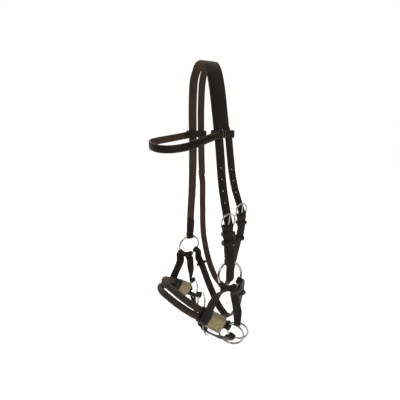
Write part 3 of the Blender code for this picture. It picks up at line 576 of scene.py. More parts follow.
def strap_into(bm, line, thick=LEATHER, grain_side=1, tips=(0, 0)):
    """A strap along a line; each end narrows to a round tip over its length in tips, 0 for a square end."""
    runs = line.distances()
    total = runs[-1]
    rings = []
    for (point, wide, normal), width, run in zip(line.frames(), line.widths, runs):
        share = 1.0
        for tip, away in ((tips[0], run), (tips[1], total - run)):
            if tip and away < tip:
                share = min(share, math.sqrt(max(0.02, 1 - (1 - away / tip) ** 2)))
        for away in (run, total - run):
            if away < 0.6:
                share *= 0.93
        deep = thick if 0.6 < run < total - 0.6 else thick * 0.82
        marks = strap_profile(max(width * share, 1.6), deep)
        wide, normal = wide * grain_side, normal * grain_side
        rings.append([bm.verts.new(point + wide * u + normal * v) for u, v, _ in marks])
    kinds = [m for _, _, m in strap_profile(10, thick)]
    for a, b in zip(rings, rings[1:]):
        for face, kind in zip(skin(bm, a, b), kinds):
            face.material_index = kind
    for ring in (rings[0], rings[-1]):
        bm.faces.new(ring).material_index = 1
    return bm


def circle_angles(count):
    return [2 * math.pi * k / count for k in range(count)]


def turned_to(one, two, angle):
    """The direction at an angle from one towards two."""
    return math.cos(angle) * one + math.sin(angle) * two


def tube_into(bm, points, radius, sides, closed, hint, radii=None):
    """A round wire, thread or rod along points; hint is a direction that isn't along them."""
    rings = []
    last = len(points) - 1
    for i, point in enumerate(points):
        if closed:
            along = (points[(i + 1) % (last + 1)] - points[i - 1]).normalized()
        else:
            along = (points[min(i + 1, last)] - points[max(i - 1, 0)]).normalized()
        one = (hint - along * hint.dot(along)).normalized()
        two = along.cross(one)
        r = radii[i] if radii else radius
        rings.append([bm.verts.new(point + r * turned_to(one, two, t)) for t in circle_angles(sides)])
    pairs = list(zip(rings, rings[1:]))
    if closed:
        pairs.append((rings[-1], rings[0]))
    else:
        bm.faces.new(rings[0])
        bm.faces.new(rings[-1])
    for a, b in pairs:
        skin(bm, a, b)
    return bm


def stitch_into(bm, start, end, normal, radius=0.36):
    """One thread stitch: a short rounded capsule that dips into the leather at both ends."""
    middle = (start + end) / 2 + normal * radius * 0.5
    a, b = start - normal * radius * 0.7, end - normal * radius * 0.7
    rise = normal * radius * 0.3
    points = [a, a.lerp(middle, 0.45) + rise, middle, b.lerp(middle, 0.45) + rise, b]
    radii = [radius * 0.5, radius, radius, radius, radius * 0.5]
    tube_into(bm, points, radius, 6, False, normal, radii)


def stitches(bm, line, inset, grain_side, span):
    """Rows of stitches a little inside both edges of a strap's grain face."""
    runs = line.distances()
    want, high = span
    found = line.frames()
    marks = []
    for i in range(1, len(runs)):
        while want <= min(runs[i], high):
            share = (want - runs[i - 1]) / max(1e-6, runs[i] - runs[i - 1])
            point = found[i - 1][0].lerp(found[i][0], share)
            wide = found[i - 1][1].lerp(found[i][1], share).normalized()
            normal = found[i - 1][2].lerp(found[i][2], share).normalized()
            width = line.widths[i - 1] + (line.widths[i] - line.widths[i - 1]) * share
            marks.append((point, wide, normal * grain_side, width))
            want += STITCH_PITCH
    for a, b in zip(marks, marks[1:]):
        for edge in (-1, 1):
            start = a[0] + a[1] * edge * (a[3] / 2 - inset) + a[2] * LEATHER / 2
            end = b[0] + b[1] * edge * (b[3] / 2 - inset) + b[2] * LEATHER / 2
            stitch_into(bm, start.lerp(end, 0.14), start.lerp(end, 0.8), a[2])


def shell_into(bm, found, outline_out, outline_in):
    """A tube open at both ends, between an outer and an inner outline at each frame."""
    outer = [[bm.verts.new(p) for p in outline_out(f, i)] for i, f in enumerate(found)]
    inner = [[bm.verts.new(p) for p in outline_in(f, i)] for i, f in enumerate(found)]
    for rings in (outer, inner):
        for a, b in zip(rings, rings[1:]):
            skin(bm, a, b)
    for end in (0, -1):
        skin(bm, outer[end], inner[end])
    return bm


def round_rect(wide, deep, corner, per=4):
    """Points (u, v) of a rectangle with round corners."""
    out = []
    for sx, sy, start in ((1, 1, 0), (-1, 1, 90), (-1, -1, 180), (1, -1, 270)):
        for k in range(per + 1):
            a = math.radians(start + 90 * k / per)
            u = sx * (wide / 2 - corner) + corner * math.cos(a)
            v = sy * (deep / 2 - corner) + corner * math.sin(a)
            out.append((u, v))
    return out


def placed(frame_, marks, grow=0.0):
    point, across, normal = frame_
    return [point + across * u * (1 + grow) + normal * v * (1 + grow) for u, v in marks]


def cut_with(obj, cutters):
    """Cuts closed meshes (in millimetres) out of a piece and keeps the result as its mesh."""
    tools = []
    for part in cutters:
        tool = in_metres("cutter", part)
        boolean = obj.modifiers.new("hole", "BOOLEAN")
        boolean.operation = "DIFFERENCE"
        boolean.solver = "EXACT"
        boolean.use_self = True
        boolean.object = tool
        tools.append(tool)
    bpy.context.view_layer.update()
    made = bpy.data.meshes.new_from_object(obj.evaluated_get(bpy.context.evaluated_depsgraph_get()))
    obj.modifiers.clear()
    old = obj.data
    obj.data = made
    bpy.data.meshes.remove(old)
    for tool in tools:
        mesh = tool.data
        bpy.data.objects.remove(tool)
        bpy.data.meshes.remove(mesh)


def round_hole(middle, out, radius):
    """A closed round cutter through a strap, 7 mm long."""
    hint = X if abs(out.x) < 0.8 else Z
    return tube_into(bmesh.new(), [middle - out * 3.5, middle + out * 3.5], radius, 14, False, hint)


# Headstall


def split_top(width):
    """Where a far tail leaves the crown."""
    x, away, z = CROWN[1]
    return x + width / 2, away, z


def front_route(side):
    if side == NEAR:
        top = [(CROWN[-1][0] - FRONT_WIDTH / 2, *CROWN[-1][1:]), *NEAR_FRONT_TAIL]
    else:
        top = [split_top(-FRONT_WIDTH), *FAR_FRONT_TOP, *FAR_FRONT_TAIL]
    return smooth(on_side(top, side), 2)


def rear_route(side):
    if side == NEAR:
        top = [(CROWN[-1][0] + REAR_WIDTH / 2, *CROWN[-1][1:]), *NEAR_REAR_TAIL]
    else:
        top = [split_top(REAR_WIDTH), *FAR_REAR_TOP, *FAR_REAR_TAIL]
    return smooth(on_side([*top, *THROAT_LOW], side), 2)


def billet_lift(up):
    """How far a billet stands off the strap under it, by the distance up from the buckle's bar."""
    for (a, low), (b, high) in zip(BILLET_LIFTS, BILLET_LIFTS[1:]):
        if up < b:
            return low + (high - low) * max(0.0, (up - a) / (b - a))
    return 0.0


def with_bar(route, bar_z):
    out = []
    for a, b in zip(route, route[1:]):
        out.append(a)
        for z in (bar_z + 21, bar_z + 15, bar_z + 7, bar_z, bar_z - 9):
            if a.z > z > b.z:
                out.append(a.lerp(b, (a.z - z) / (a.z - b.z)))
    return [*out, route[-1]]


def billet(route, bar_z):
    route = [p for p in with_bar(route, bar_z) if p.z > BILLET_END_Z]
    return shifted(route, X, [billet_lift(p.z - bar_z) for p in route], NEAR)


def cheek_billet():
    """The cheek billet is long: its tail hangs on down outside the cheek ring."""
    return [*billet(front_route(NEAR), CHEEK_BAR_Z), *on_side(BILLET_TAIL, NEAR)]


def cheek_ring_top(side):
    return ring_point(centre(CHEEK_CENTRE, side), cheek_plane(side), CHEEK_RING[0], math.pi)


def cheek_end(points, side, tail_length):
    return looped_end(points, cheek_ring_top(side), X, Y * side, CHEEK_RING[1], tail_length)


def bar_frame(route, bar_z):
    """At a heel bar: (middle of the bar, across, up the strap, outwards), on the near side."""
    after = next(i for i, p in enumerate(route) if p.z <= bar_z)
    a, b = route[after - 1], route[after]
    middle = a.lerp(b, (a.z - bar_z) / (a.z - b.z))
    up = (a - b).normalized()
    across = (X - up * X.dot(up)).normalized()
    return middle, across, up, across.cross(up)


def bar_fold(frame_, wire):
    """The half turn of a strap round a buckle's bar."""
    middle, _, up, out = frame_
    radius = wire + 0.5 + LEATHER / 2
    return [middle + radius * turned_to(up, out, math.radians(a)) for a in range(-90, 91, 30)]


def bar_loop(frame_, points, tail_length):
    """A strap from its tail, round a buckle's bar and down along its route, on the near side."""
    middle = frame_[0]
    half = LAYER / 2
    low = [p for p in with_bar(points, middle.z) if p.z < middle.z - 8.9]
    outer = shifted(low, X, half, NEAR)
    inner = shifted([p for p in low if p.z > middle.z - tail_length], X, -half, NEAR)
    return [*reversed(inner), *bar_fold(frame_, BUCKLE_WIRE), *outer]


def outward_sign(line, index, out):
    return 1 if line.frames()[index][2].dot(out) > 0 else -1


def crown_line():
    near = smooth(on_side(CROWN, NEAR), 2)
    far = smooth(on_side(CROWN[:2], FAR), 2)
    middle = [*reversed(near), *far]
    return [p + X * (REAR_WIDTH - FRONT_WIDTH) / 2 for p in middle]


def billet_holes(route, bar_z, count):
    """Round adjusting holes up the billet above the tongue."""
    out = []
    for k in range(count):
        z = bar_z + 44 + 22 * k
        middle, _, _, outward = bar_frame(route, z)
        out.append(round_hole(middle + outward * billet_lift(z - bar_z), outward, 1.35))
    return out


def strap_piece(name, line, out, at, node, body, tips=(0, 0), holes=()):
    """One strap as a piece; its grain faces the out direction at the point of the line nearest to at."""
    place = Vector(at)
    index = min(range(len(line.points)), key=lambda i: (line.points[i] - place).length)
    sign = outward_sign(line, index, out)
    bm = strap_into(bmesh.new(), line, LEATHER, sign, tips)
    piece = add_piece(name, bm, STRAP_FINISH, body, node)
    if holes:
        cut_with(piece, holes)
    return sign


def tongue_hole(frame_, radius=2.1):
    """The one long hole that a buckle's tongue goes through."""
    middle, across, up, out = frame_
    bm = bmesh.new()
    marks = []
    for k in range(16):
        t = 2 * math.pi * k / 16
        marks.append((radius * math.cos(t), radius * math.sin(t) + math.copysign(2.2, math.sin(t)) + 3))
    rings = [[bm.verts.new(middle + across * u + up * v + out * w) for u, v in marks] for w in (-7, 9)]
    skin(bm, *rings)
    bm.faces.new(rings[0])
    bm.faces.new(rings[1])
    return bm


def make_crown():
    top = Line(crown_line(), X, FRONT_WIDTH + REAR_WIDTH)
    strap_piece("crown_leather", top, Z, (14, 0, 1.3), "crown_strap", "headstall")
    tails = (
        ("crown_front_tail", front_route(NEAR), CHEEK_BAR_Z, FRONT_WIDTH, 4),
        ("crown_rear_tail", rear_route(NEAR), THROAT_BAR_Z, REAR_WIDTH, 3),
    )
    for name, route, bar_z, width, count in tails:
        points = cheek_billet() if bar_z == CHEEK_BAR_Z else billet(route, bar_z)
        lead = [points[0] + (points[0] - points[1]).normalized() * 5]
        line = Line([*lead, *points], X, width)
        holes = [*billet_holes(route, bar_z, count), tongue_hole(bar_frame(route, bar_z))]
        strap_piece(name, line, -Y, points[3], "crown_strap", "headstall", (0, 8), holes=holes)
    points = cheek_end(front_route(FAR), FAR, FAR_BACK)
    line = Line(points, X, narrowed(points, FRONT_WIDTH, [cheek_ring_top(FAR)], FAR_NARROW))
    strap_piece("crown_far_front", line, Y, (10, 56, -158), "crown_strap", "headstall", (0, 6))
    rear = Line([p for p in rear_route(FAR) if p.z > SPLICE_Z], X, REAR_WIDTH)
    strap_piece("crown_far_rear", rear, Y, (32, 57, -158), "crown_strap", "headstall")


def brow_line():
    near, far = on_side(BROW_NEAR, NEAR), on_side(BROW_FAR, FAR)
    return smooth([*near, *reversed(far)], 2)


def make_browband():
    bm = bmesh.new()
    band = Line(brow_line()[1:-1], Z, BROW_HEIGHT)
    sign = outward_sign(band, len(band.points) // 2, -X)
    strap_into(bm, band, grain_side=sign)
    sewing = bmesh.new()
    for side, height in ((NEAR, BROW_NEAR[0][2]), (FAR, BROW_FAR[0][2])):
        loop = [Vector((x, side * y, height)) for x, y in BROW_LOOP]
        line = Line([*loop, loop[0], loop[1]], Z, BROW_HEIGHT, 1.6)
        outside = outward_sign(line, 3, Y * side)
        strap_into(bm, line, grain_side=outside)
        for x in (16.5, 21.5):
            marks = [Vector((x, side * 60.9, height + h)) for h in (-5.6, -2.8, 0, 2.8, 5.6)]
            for a, b in zip(marks, marks[1:]):
                stitch_into(sewing, a.lerp(b, 0.1), a.lerp(b, 0.85), Y * side, 0.55)
    total = band.distances()[-1]
    for span in ((4, 46), (total - 46, total - 4)):
        stitches(sewing, band, 2.1, sign, span)
    add_piece("browband_leather", bm, STRAP_FINISH, "browband", "browband")
    add_piece("browband_stitching", sewing, (THREAD,), "browband")


def make_cheekpiece():
    route = front_route(NEAR)
    frame_ = bar_frame(route, CHEEK_BAR_Z)
    above = bar_loop(frame_, [p for p in route if p.z > -366], 24)
    points = cheek_end(above, NEAR, CHEEK_BACK)
    widths = narrowed(points, CHEEK_WIDTH, [cheek_ring_top(NEAR)], CHEEK_NARROW)
    line = Line(points, X, widths, 1.6)
    holes = [tongue_hole(frame_)]
    name, place = "near_cheekpiece_leather", (17, -84, -352)
    sign = strap_piece(name, line, -Y, place, "near_cheekpiece", "headstall", holes=holes)
    sewing = bmesh.new()
    body = line.part(lambda p: -368 < p.z < -347 and p.y < -80.5)
    stitches(sewing, body, 2.4, sign, (0.5, 99))
    add_piece("near_cheekpiece_stitching", sewing, (DARK_THREAD,), "headstall")


def make_throat_latch():
    near, far = rear_route(NEAR), rear_route(FAR)
    frame_ = bar_frame(near, THROAT_BAR_Z)
    low = [p for p in near if p.z < THROAT_BAR_Z]
    top = bar_loop(frame_, low, 26)
    count = len(low)
    merged = top[: len(top) - count]
    for shift, plain in zip(top[-count:], low):
        share = min(1.0, max(0.0, (plain.z + 400) / 40))
        merged.append(plain.lerp(shift, share))
    rise = [p for p in reversed(far) if p.z < SPLICE_Z + 22]
    offsets = [LAYER * min(1.0, max(0.0, (p.z - SPLICE_Z + 14) / 10)) for p in rise]
    rise = shifted(rise, X, offsets, FAR)
    line = Line([*merged, *rise[1:]], X, REAR_WIDTH - 0.5)
    name, holes = "throat_latch_leather", [tongue_hole(frame_)]
    sign = strap_piece(name, line, -Z, (55, 0, -472), "throat_latch", "headstall", (0, 7), holes=holes)
    sewing = bmesh.new()
    total = line.distances()[-1]
    stitches(sewing, line, 2.2, sign, (total - 17, total - 4))
    add_piece("throat_latch_stitching", sewing, (THREAD,), "headstall")


def buckle_outline(half, straight):
    corner = 2.4
    marks = [(-half + corner, 0), (0, 0), (half - corner, 0), (half - 0.7, 0.7), (half, corner)]
    for i in range(25):
        a = math.pi * i / 24
        marks.append((half * math.cos(a), straight + half * math.sin(a)))
    return [*marks, (-half, corner), (-half + 0.7, 0.7)]


def make_buckle(label, frame_, size, wire=BUCKLE_WIRE):
    """A polished horseshoe frame with a slightly flattened front bar, and its tongue."""
    middle, across, up, out = frame_
    half, straight = size
    lean = turned_to(up, out, BUCKLE_LEAN)
    points = [middle + across * a + lean * b for a, b in buckle_outline(half, straight)]
    face = across.cross(lean).normalized()
    bm = tube_into(bmesh.new(), points, wire, 14, True, face)
    add_piece(label + "_buckle_metal", bm, (STEEL,), label + "_buckle", label + "_buckle_frame")
    eye = wire + 0.4 + 0.6
    start = math.degrees(BUCKLE_LEAN) + 90
    turns = [math.radians(a) for a in range(20, int(start) - 360, -15)]
    turns.append(math.radians(start - 360))
    curl = [middle + eye * turned_to(up, out, a) for a in turns]
    reach = half + straight
    points = [*curl, *[curl[-1] + lean * (reach + 2.6) * k / 6 for k in range(1, 7)]]
    bm = bmesh.new()
    rings = []
    total = len(points) - 1
    for i, (point, wide, normal) in enumerate(frames(points, across)):
        share = 1 - 0.45 * max(0.0, (i - len(curl)) / max(1, total - len(curl)))
        marks = round_rect(2.7 * share, 1.25, 0.5, 2)
        rings.append([bm.verts.new(p) for p in placed((point, wide, normal), marks)])
    for a, b in zip(rings, rings[1:]):
        skin(bm, a, b)
    bm.faces.new(rings[0])
    bm.faces.new(rings[-1])
    add_piece(label + "_tongue_metal", bm, (STEEL,), label + "_tongue", label + "_buckle_tongue")


def make_keeper(node, middle, axes, inside, body, height=7.0):
    """A leather keeper loop: rounded corners, bulged edges and a creased line round the middle."""
    across, along, out = axes
    wide, deep = inside
    levels = [-0.5, -0.44, -0.3, -0.22, -0.14, 0.14, 0.22, 0.3, 0.44, 0.5]
    swell = [-0.55, -0.1, 0.05, -0.22, 0.05, 0.05, -0.22, 0.05, -0.1, -0.55]
    found = [(middle + along * height * h, across, out) for h in levels]

    def outer(f, i):
        grow = 2 * (KEEPER_WALL + swell[i] * 0.8)
        return placed(f, round_rect(wide + grow, deep + grow, 1.9, 4))

    def inner(f, i):
        return placed(f, round_rect(wide, deep, 0.8, 4))

    bm = shell_into(bmesh.new(), found, outer, inner)
    add_piece(node + "_leather", bm, (SIDE_GRAIN,), body, node)


def keeper_on(node, route, z, width, body, height=7.0):
    middle, across, up, out = bar_frame(route, z)
    inner, outer = -LAYER, LAYER * 2
    inside = (width + 1.2, outer - inner + 0.9)
    place = middle + out * (outer + inner) / 2
    make_keeper(node, place, (across, up, out), inside, body, height)


def make_headstall_keepers():
    cheek, throat = front_route(NEAR), rear_route(NEAR)
    keeper_on("cheek_keeper_fixed", cheek, CHEEK_BAR_Z - 14, CHEEK_WIDTH, "headstall")
    keeper_on("cheek_keeper_sliding", cheek, CHEEK_BAR_Z - 31, CHEEK_WIDTH, "cheek_slider", 9)
    keeper_on("throat_keeper_fixed", throat, THROAT_BAR_Z - 14, REAR_WIDTH, "headstall", 6)
    keeper_on("throat_keeper_sliding", throat, THROAT_BAR_Z - 46, REAR_WIDTH, "throat_slider", 8)


# Rings and the nose unit


def ring_piece(name, middle, plane, size):
    """A round wire ring with its welded joint showing as a faint swelling."""
    radius, wire = size
    turns = circle_angles(96)
    points = [ring_point(middle, plane, radius, t) for t in turns]
    weld = math.radians(128)
    radii = []
    for t in turns:
        near = abs((t - weld + math.pi) % (2 * math.pi) - math.pi) * radius
        bead, neck = math.exp(-((near / 1.6) ** 2)), math.exp(-(((near - 2.6) / 0.9) ** 2))
        radii.append(wire * (1 + 0.035 * bead - 0.02 * neck))
    bm = tube_into(bmesh.new(), points, wire, 20, True, plane[2], radii)
    add_piece(name + "_metal", bm, (STEEL,), name, name)


def make_rings():
    for label, side in SIDES.items():
        ring_piece("cheek_ring_" + label, centre(CHEEK_CENTRE, side), cheek_plane(side), CHEEK_RING)
        ring_piece("rein_ring_" + label, centre(REIN_CENTRE, side), facing(side, *REIN_FACING), REIN_RING)
        ring_piece("jaw_ring_" + label, centre(JAW_CENTRE, side), facing(side, *JAW_FACING), JAW_RING)


def make_yoke(label, side):
    """The side strap: folded round the cheek ring's lower arc, with a front leg and a rear leg."""
    middle, plane = centre(CHEEK_CENTRE, side), cheek_plane(side)
    inner = CHEEK_RING[1] + LOOP_PLAY
    count = 22
    turns = [YOKE_FROM + (YOKE_TO - YOKE_FROM) * i / count for i in range(count + 1)]
    arc = [(ring_point(middle, plane, CHEEK_RING[0], t), plane[2], ring_out(plane, t)) for t in turns]

    def circle(radius, swell=0.0):
        def outline(f, i):
            r = radius - (swell if i in (0, count) else 0)
            return [f[0] + r * turned_to(f[1], f[2], t) for t in circle_angles(18)]

        return outline

    bm = shell_into(bmesh.new(), arc, circle(inner + 2.3, 0.5), circle(inner))
    wall = inner + 1.45
    start = ring_point(middle, plane, CHEEK_RING[0], math.radians(-44)) + plane[2] * wall
    front = smooth([start, start - plane[1] * 7 - X * 2, *on_side(FRONT_LEG, side)], 2)
    front_line = Line(front, X, LEG_WIDTH)
    front_sign = outward_sign(front_line, 12, Y * side)
    strap_into(bm, front_line, grain_side=front_sign, tips=(4, 7))
    start = ring_point(middle, plane, CHEEK_RING[0], math.radians(6)) + plane[2] * wall
    rear = smooth([start, start - plane[1] * 7, *on_side(REAR_LEG, side)], 2)
    jaw_plane = facing(side, *JAW_FACING)
    top = ring_point(centre(JAW_CENTRE, side), jaw_plane, JAW_RING[0], math.pi)
    points = looped_end(rear, top, jaw_plane[0], Y * side, JAW_RING[1], YOKE_BACK)
    across = turning(points, X, jaw_plane[0], top, 30)
    rear_line = Line(points, across, narrowed(points, LEG_WIDTH - 1, [top], YOKE_NARROW))
    rear_sign = outward_sign(rear_line, 10, Y * side)
    strap_into(bm, rear_line, grain_side=rear_sign, tips=(4, 3))
    node = "side_yoke_" + label
    add_piece(node + "_leather", bm, SIDE_FINISH, "nose_unit", node)
    sewing = bmesh.new()
    stitches(sewing, front_line, 2.3, front_sign, (5, 62))
    stitches(sewing, rear_line, 2.2, rear_sign, (5, 40))
    add_piece(node + "_stitching", sewing, (DARK_THREAD,), "nose_unit")


def nose_route():
    near = on_side(NOSE, NEAR)
    far = on_side(NOSE[:-1], FAR)
    rear = (near[0] - near[1]).normalized() * 16
    rear_far = Vector((rear.x, -rear.y, rear.z))
    return smooth([near[0] + rear, *near, *reversed(far), far[0] + rear_far], 5)


def nose_from(side):
    """The noseband's route, starting at this side's end."""
    return nose_route() if side == NEAR else list(reversed(nose_route()))


def nose_frames(side, start, end, count):
    return frames(stretch(nose_from(side), start, end, count), NOSE_UP)


def tube_line(sign, inset, count):
    whole = length(nose_route())
    out = []
    for i, (point, up, _) in enumerate(nose_frames(NEAR, inset, whole - inset, count)):
        bow = max(0.0, math.sin(math.pi * i / count) - 0.5) * 2
        out.append(point + up * sign * (TUBE_APART / 2 + TUBE_BOW * bow))
    return out


def make_nose_tubes():
    """Rolled leather over rope, with a lengthwise seam on the inner side, fine wrinkles and sewn edges."""
    for label, sign in (("upper", 1), ("lower", -1)):
        count = 170
        line = tube_line(sign, TUBE_INSET, count)
        found = frames(smooth(line[::2], 2), NOSE_UP)
        sides = 28
        bm = bmesh.new()
        waves = [DRAW.uniform(0, 6.28) for _ in range(5)]

        def radius(i, k):
            turn = 2 * math.pi * k / sides
            seam = math.exp(-(((turn - math.pi * 0.5) / 0.16) ** 2)) * 0.42
            lip = math.exp(-(((turn - math.pi * 0.5 - 0.36) / 0.14) ** 2)) * 0.18
            ripple = 0.05 * math.sin(i * 0.55 + waves[0]) + 0.045 * math.sin(i * 1.23 + waves[1] + turn)
            ripple += 0.05 * math.sin(i * 0.21 + waves[2]) + 0.03 * math.sin(i * 2.3 + 2 * turn + waves[3])
            return TUBE_RADIUS - 0.1 - seam + lip + ripple

        def outer(f, i):
            turns = enumerate(circle_angles(sides))
            return [f[0] + radius(i, k) * turned_to(f[1], -f[2], t) for k, t in turns]

        def inner(f, i):
            return [f[0] + (CORE_RADIUS + 0.6) * turned_to(f[1], -f[2], t) for t in circle_angles(sides)]

        shell_into(bm, found, outer, inner)
        add_piece(label + "_nose_leather", bm, (ROLLED,), "nose_unit", label + "_nose_tube")
        sewing = bmesh.new()
        step = 3
        for i in range(8, len(found) - 8 - step, step):
            a, b = found[i], found[i + step]
            r = TUBE_RADIUS - 0.02
            t = math.pi * 0.5 + 0.36
            start, end = (f[0] + r * turned_to(f[1], -f[2], t) for f in (a, b))
            away = (start - a[0]).normalized()
            stitch_into(sewing, start.lerp(end, 0.12), start.lerp(end, 0.8), away, 0.34)
        add_piece(label + "_nose_stitching", sewing, (DARK_THREAD,), "nose_unit")
        make_rope(label, sign)


def make_rope(label, sign):
    """The rope core: three twisted strands, seen at the tube's open ends."""
    line = frames(tube_line(sign, TUBE_INSET + 1.5, 150), NOSE_UP)
    bm = bmesh.new()
    strand = CORE_RADIUS * 0.5
    for k in range(3):
        points = []
        for i, (point, up, normal) in enumerate(line):
            t = i * 0.42 + 2 * math.pi * k / 3
            points.append(point + (CORE_RADIUS - strand) * turned_to(up, normal, t))
        tube_into(bm, points, strand, 8, False, NOSE_UP)
    add_piece(label + "_rope", bm, (ROPE,), "nose_unit", label + "_rope_core")


def figure_outline(grow, count=44):
    """The outline round both tubes, as points (u, v): u along NOSE_UP, v through the band."""
    wide = TUBE_APART + 2 * TUBE_RADIUS + 1.1 + 2 * grow
    deep = 2 * TUBE_RADIUS + 1.0 + 2 * grow
    corner = deep / 2 - 0.05
    marks = []
    for k in range(count):
        t = 2 * math.pi * k / count
        c, s = math.cos(t), math.sin(t)
        marks.append((math.copysign(wide / 2 - corner, c) * min(1, abs(c) * 4) + corner * c, corner * s))
    return marks


def make_nose_ends():
    for label, side in SIDES.items():
        make_pad(label, side)
        make_wrap(label, side)


def make_wrap(label, side):
    """Leather bound tight round both tubes, its edges rounded."""
    count = 26
    found = nose_frames(side, *WRAP_SPAN, count)
    marks = figure_outline(1.5)
    pinch = [(abs(i - count / 2) / (count / 2)) for i in range(count + 1)]

    def outer(f, i):
        edge = -0.10 if i in (0, count) else 0.0
        band = 0.012 * math.sin(i * 1.9) + 0.02 * math.cos(i * 0.7)
        return placed(f, marks, edge + band * (1 - pinch[i] ** 4))

    def inner(f, i):
        return placed(f, figure_outline(-0.2))

    bm = shell_into(bmesh.new(), found, outer, inner)
    node = "nose_wrap_" + label
    add_piece(node + "_leather", bm, (SIDE_GRAIN,), "nose_unit", node)


def make_pad(label, side):
    """A sheared wool sleeve: uneven pile, thinner at both edges, with tufts that stand out of it."""
    count = 40
    found = nose_frames(side, *PAD_SPAN, count)
    marks = figure_outline(2.1, PAD_MARKS)
    waves = [DRAW.uniform(0, 6.28) for _ in range(8)]
    lumps = []
    for _ in range(PAD_LUMPS):
        lumps.append((DRAW.uniform(0, count), DRAW.uniform(0, PAD_MARKS), DRAW.uniform(-0.35, 0.55)))

    def pile(i, k):
        value = 0.16 * math.sin(i * 0.8 + waves[0] + k * 0.3) + 0.14 * math.sin(k * 0.9 + waves[1] - i * 0.5)
        for a, b, size in lumps:
            near = (i - a) ** 2 + (min(abs(k - b), PAD_MARKS - abs(k - b)) * 0.9) ** 2
            if near < 9:
                value += size * math.exp(-near / 2.4)
        return value

    def outer(f, i):
        out = []
        edge = 0.9 if i in (0, count) else (0.3 if i in (1, count - 1) else 0.0)
        for k, (u, v) in enumerate(marks):
            size = math.hypot(u, v)
            grow = (pile(i, k) - edge) / size
            out.append(f[0] + f[1] * u * (1 + grow) + f[2] * v * (1 + grow))
        return out

    def inner(f, i):
        return placed(f, figure_outline(-0.1, PAD_MARKS))

    bm = shell_into(bmesh.new(), found, outer, inner)
    for _ in range(PAD_TUFTS):
        i, k = DRAW.randrange(0, count), DRAW.randrange(0, PAD_MARKS)
        f = found[i]
        u, v = marks[k]
        away = (f[1] * u + f[2] * v).normalized()
        size = math.hypot(u, v)
        root = f[0] + away * (size + pile(i, k) - 0.5)
        root += Vector([DRAW.uniform(-0.6, 0.6) for _ in range(3)])
        lean = Vector([DRAW.uniform(-0.8, 0.8) for _ in range(3)])
        tip = root + (away + lean * 0.75).normalized() * DRAW.uniform(0.9, 2.0)
        blade_into(bm, root, tip, away, DRAW.uniform(0.16, 0.32))
    node = "nose_pad_" + label
    pad = add_piece(node + "_wool", bm, (WOOL,), "nose_unit", node)


def blade_into(bm, root, tip, away, width):
    """A curved tuft of wool: three-sided, thick at the root."""
    along = (tip - root).normalized()
    side = along.cross(away)
    if side.length < 0.1:
        side = along.cross(X)
    side.normalize()
    other = along.cross(side)
    marks = [side * width]
    marks += [(way - side * 0.5).normalized() * width for way in (other, -other)]
    low = [bm.verts.new(root + m) for m in marks]
    middle = root.lerp(tip, 0.55) + away * width * 0.6
    mid = [bm.verts.new(middle + m * 0.8) for m in marks]
    end = bm.verts.new(tip)
    for i in range(3):
        j = (i + 1) % 3
        bm.faces.new((low[i], low[j], mid[j], mid[i]))
        bm.faces.new((mid[i], mid[j], end))
    bm.faces.new(low)


def make_tabs(label, side):
    root, mouth = stretch(nose_from(side), 2, 10, 1)[::-1]
    rearward = (mouth - root).normalized()
    for name, place, angle, facing_at, size, row, bend in (
        ("jaw_ring_tab_", JAW_CENTRE, JAW_TAB_AT, JAW_FACING, JAW_RING, TAB_ROW, None),
        ("rein_ring_tab_", REIN_CENTRE, REIN_TAB_AT, REIN_FACING, REIN_RING, -TAB_ROW, REIN_TAB_BEND),
    ):
        plane = facing(side, *facing_at)
        wire_point = ring_point(centre(place, side), plane, size[0], angle)
        along = ring_along(plane, angle)
        start = root + NOSE_UP * row
        points = [start, mouth + NOSE_UP * row]
        if bend:
            points += on_side(bend, side)
        else:
            points.append(points[-1] + rearward * 4)
        points = smooth(points, 2)
        points = looped_end(points, wire_point, along, plane[2], size[1], TAB_BACK)
        line = Line(points, turning(points, NOSE_UP, along, wire_point, 12), TAB_WIDTH, 1.2)
        sign = outward_sign(line, 4, Y * side)
        bm = strap_into(bmesh.new(), line, TAB_LEATHER, sign)
        add_piece(name + label + "_leather", bm, SIDE_FINISH, "nose_unit", name + label)


# Under the jaw


def hanging_half(route, side, place, plane, angle, size, usual, width, narrow, out, tail_length):
    wire_point = ring_point(centre(place, side), plane, size[0], angle)
    along = ring_along(plane, angle)
    line = list(reversed(smooth(on_side(route, side), 3)))
    points = looped_end(line, wire_point, along, Vector((out.x, side * out.y, out.z)), size[1], tail_length)
    turned = along if along.dot(usual) > 0 else -along
    across = turning(points, usual, turned, wire_point, 26)
    return points, across, narrowed(points, width, [wire_point], narrow)


def make_jaw_strap():
    halves = [
        hanging_half(JAW, side, CHEEK_CENTRE, cheek_plane(side), JAW_LOOP_AT, CHEEK_RING, JAW_ACROSS,
                     JAW_WIDTH, JAW_NARROW, Y, JAW_BACK)
        for side in (NEAR, FAR)
    ]
    points, across, widths = ([*reversed(a), *b[1:]] for a, b in zip(*halves))
    line = Line(points, across, widths)
    low = min(range(len(line.points)), key=lambda i: line.points[i].z)
    sign = outward_sign(line, low, -Z)
    bm = strap_into(bmesh.new(), line, grain_side=sign, tips=(5, 5))
    add_piece("jaw_strap_leather", bm, SIDE_FINISH, "jaw_strap", "jaw_strap")
    for label, (points, across, _) in zip(SIDES, halves):
        jaw_keeper(label, points, across)


def jaw_keeper(label, points, across):
    side = SIDES[label]
    i = next(k for k, p in enumerate(points) if p.z > JAW_KEEPER_Z)
    a, b = points[i - 1], points[i]
    share = (JAW_KEEPER_Z - a.z) / (b.z - a.z)
    middle = a.lerp(b, share)
    along = (b - a).normalized()
    turned = across[i - 1].lerp(across[i], share)
    wide = (turned - along * turned.dot(along)).normalized()
    out = wide.cross(along)
    if out.y * side < 0:
        out = -out
    place = middle - out * (LAYER / 2 + 0.5)
    inside = (JAW_WIDTH + 3.2, 2 * LAYER + 3.8)
    make_keeper("jaw_keeper_" + label, place, (wide, along, out), inside, "jaw_strap")


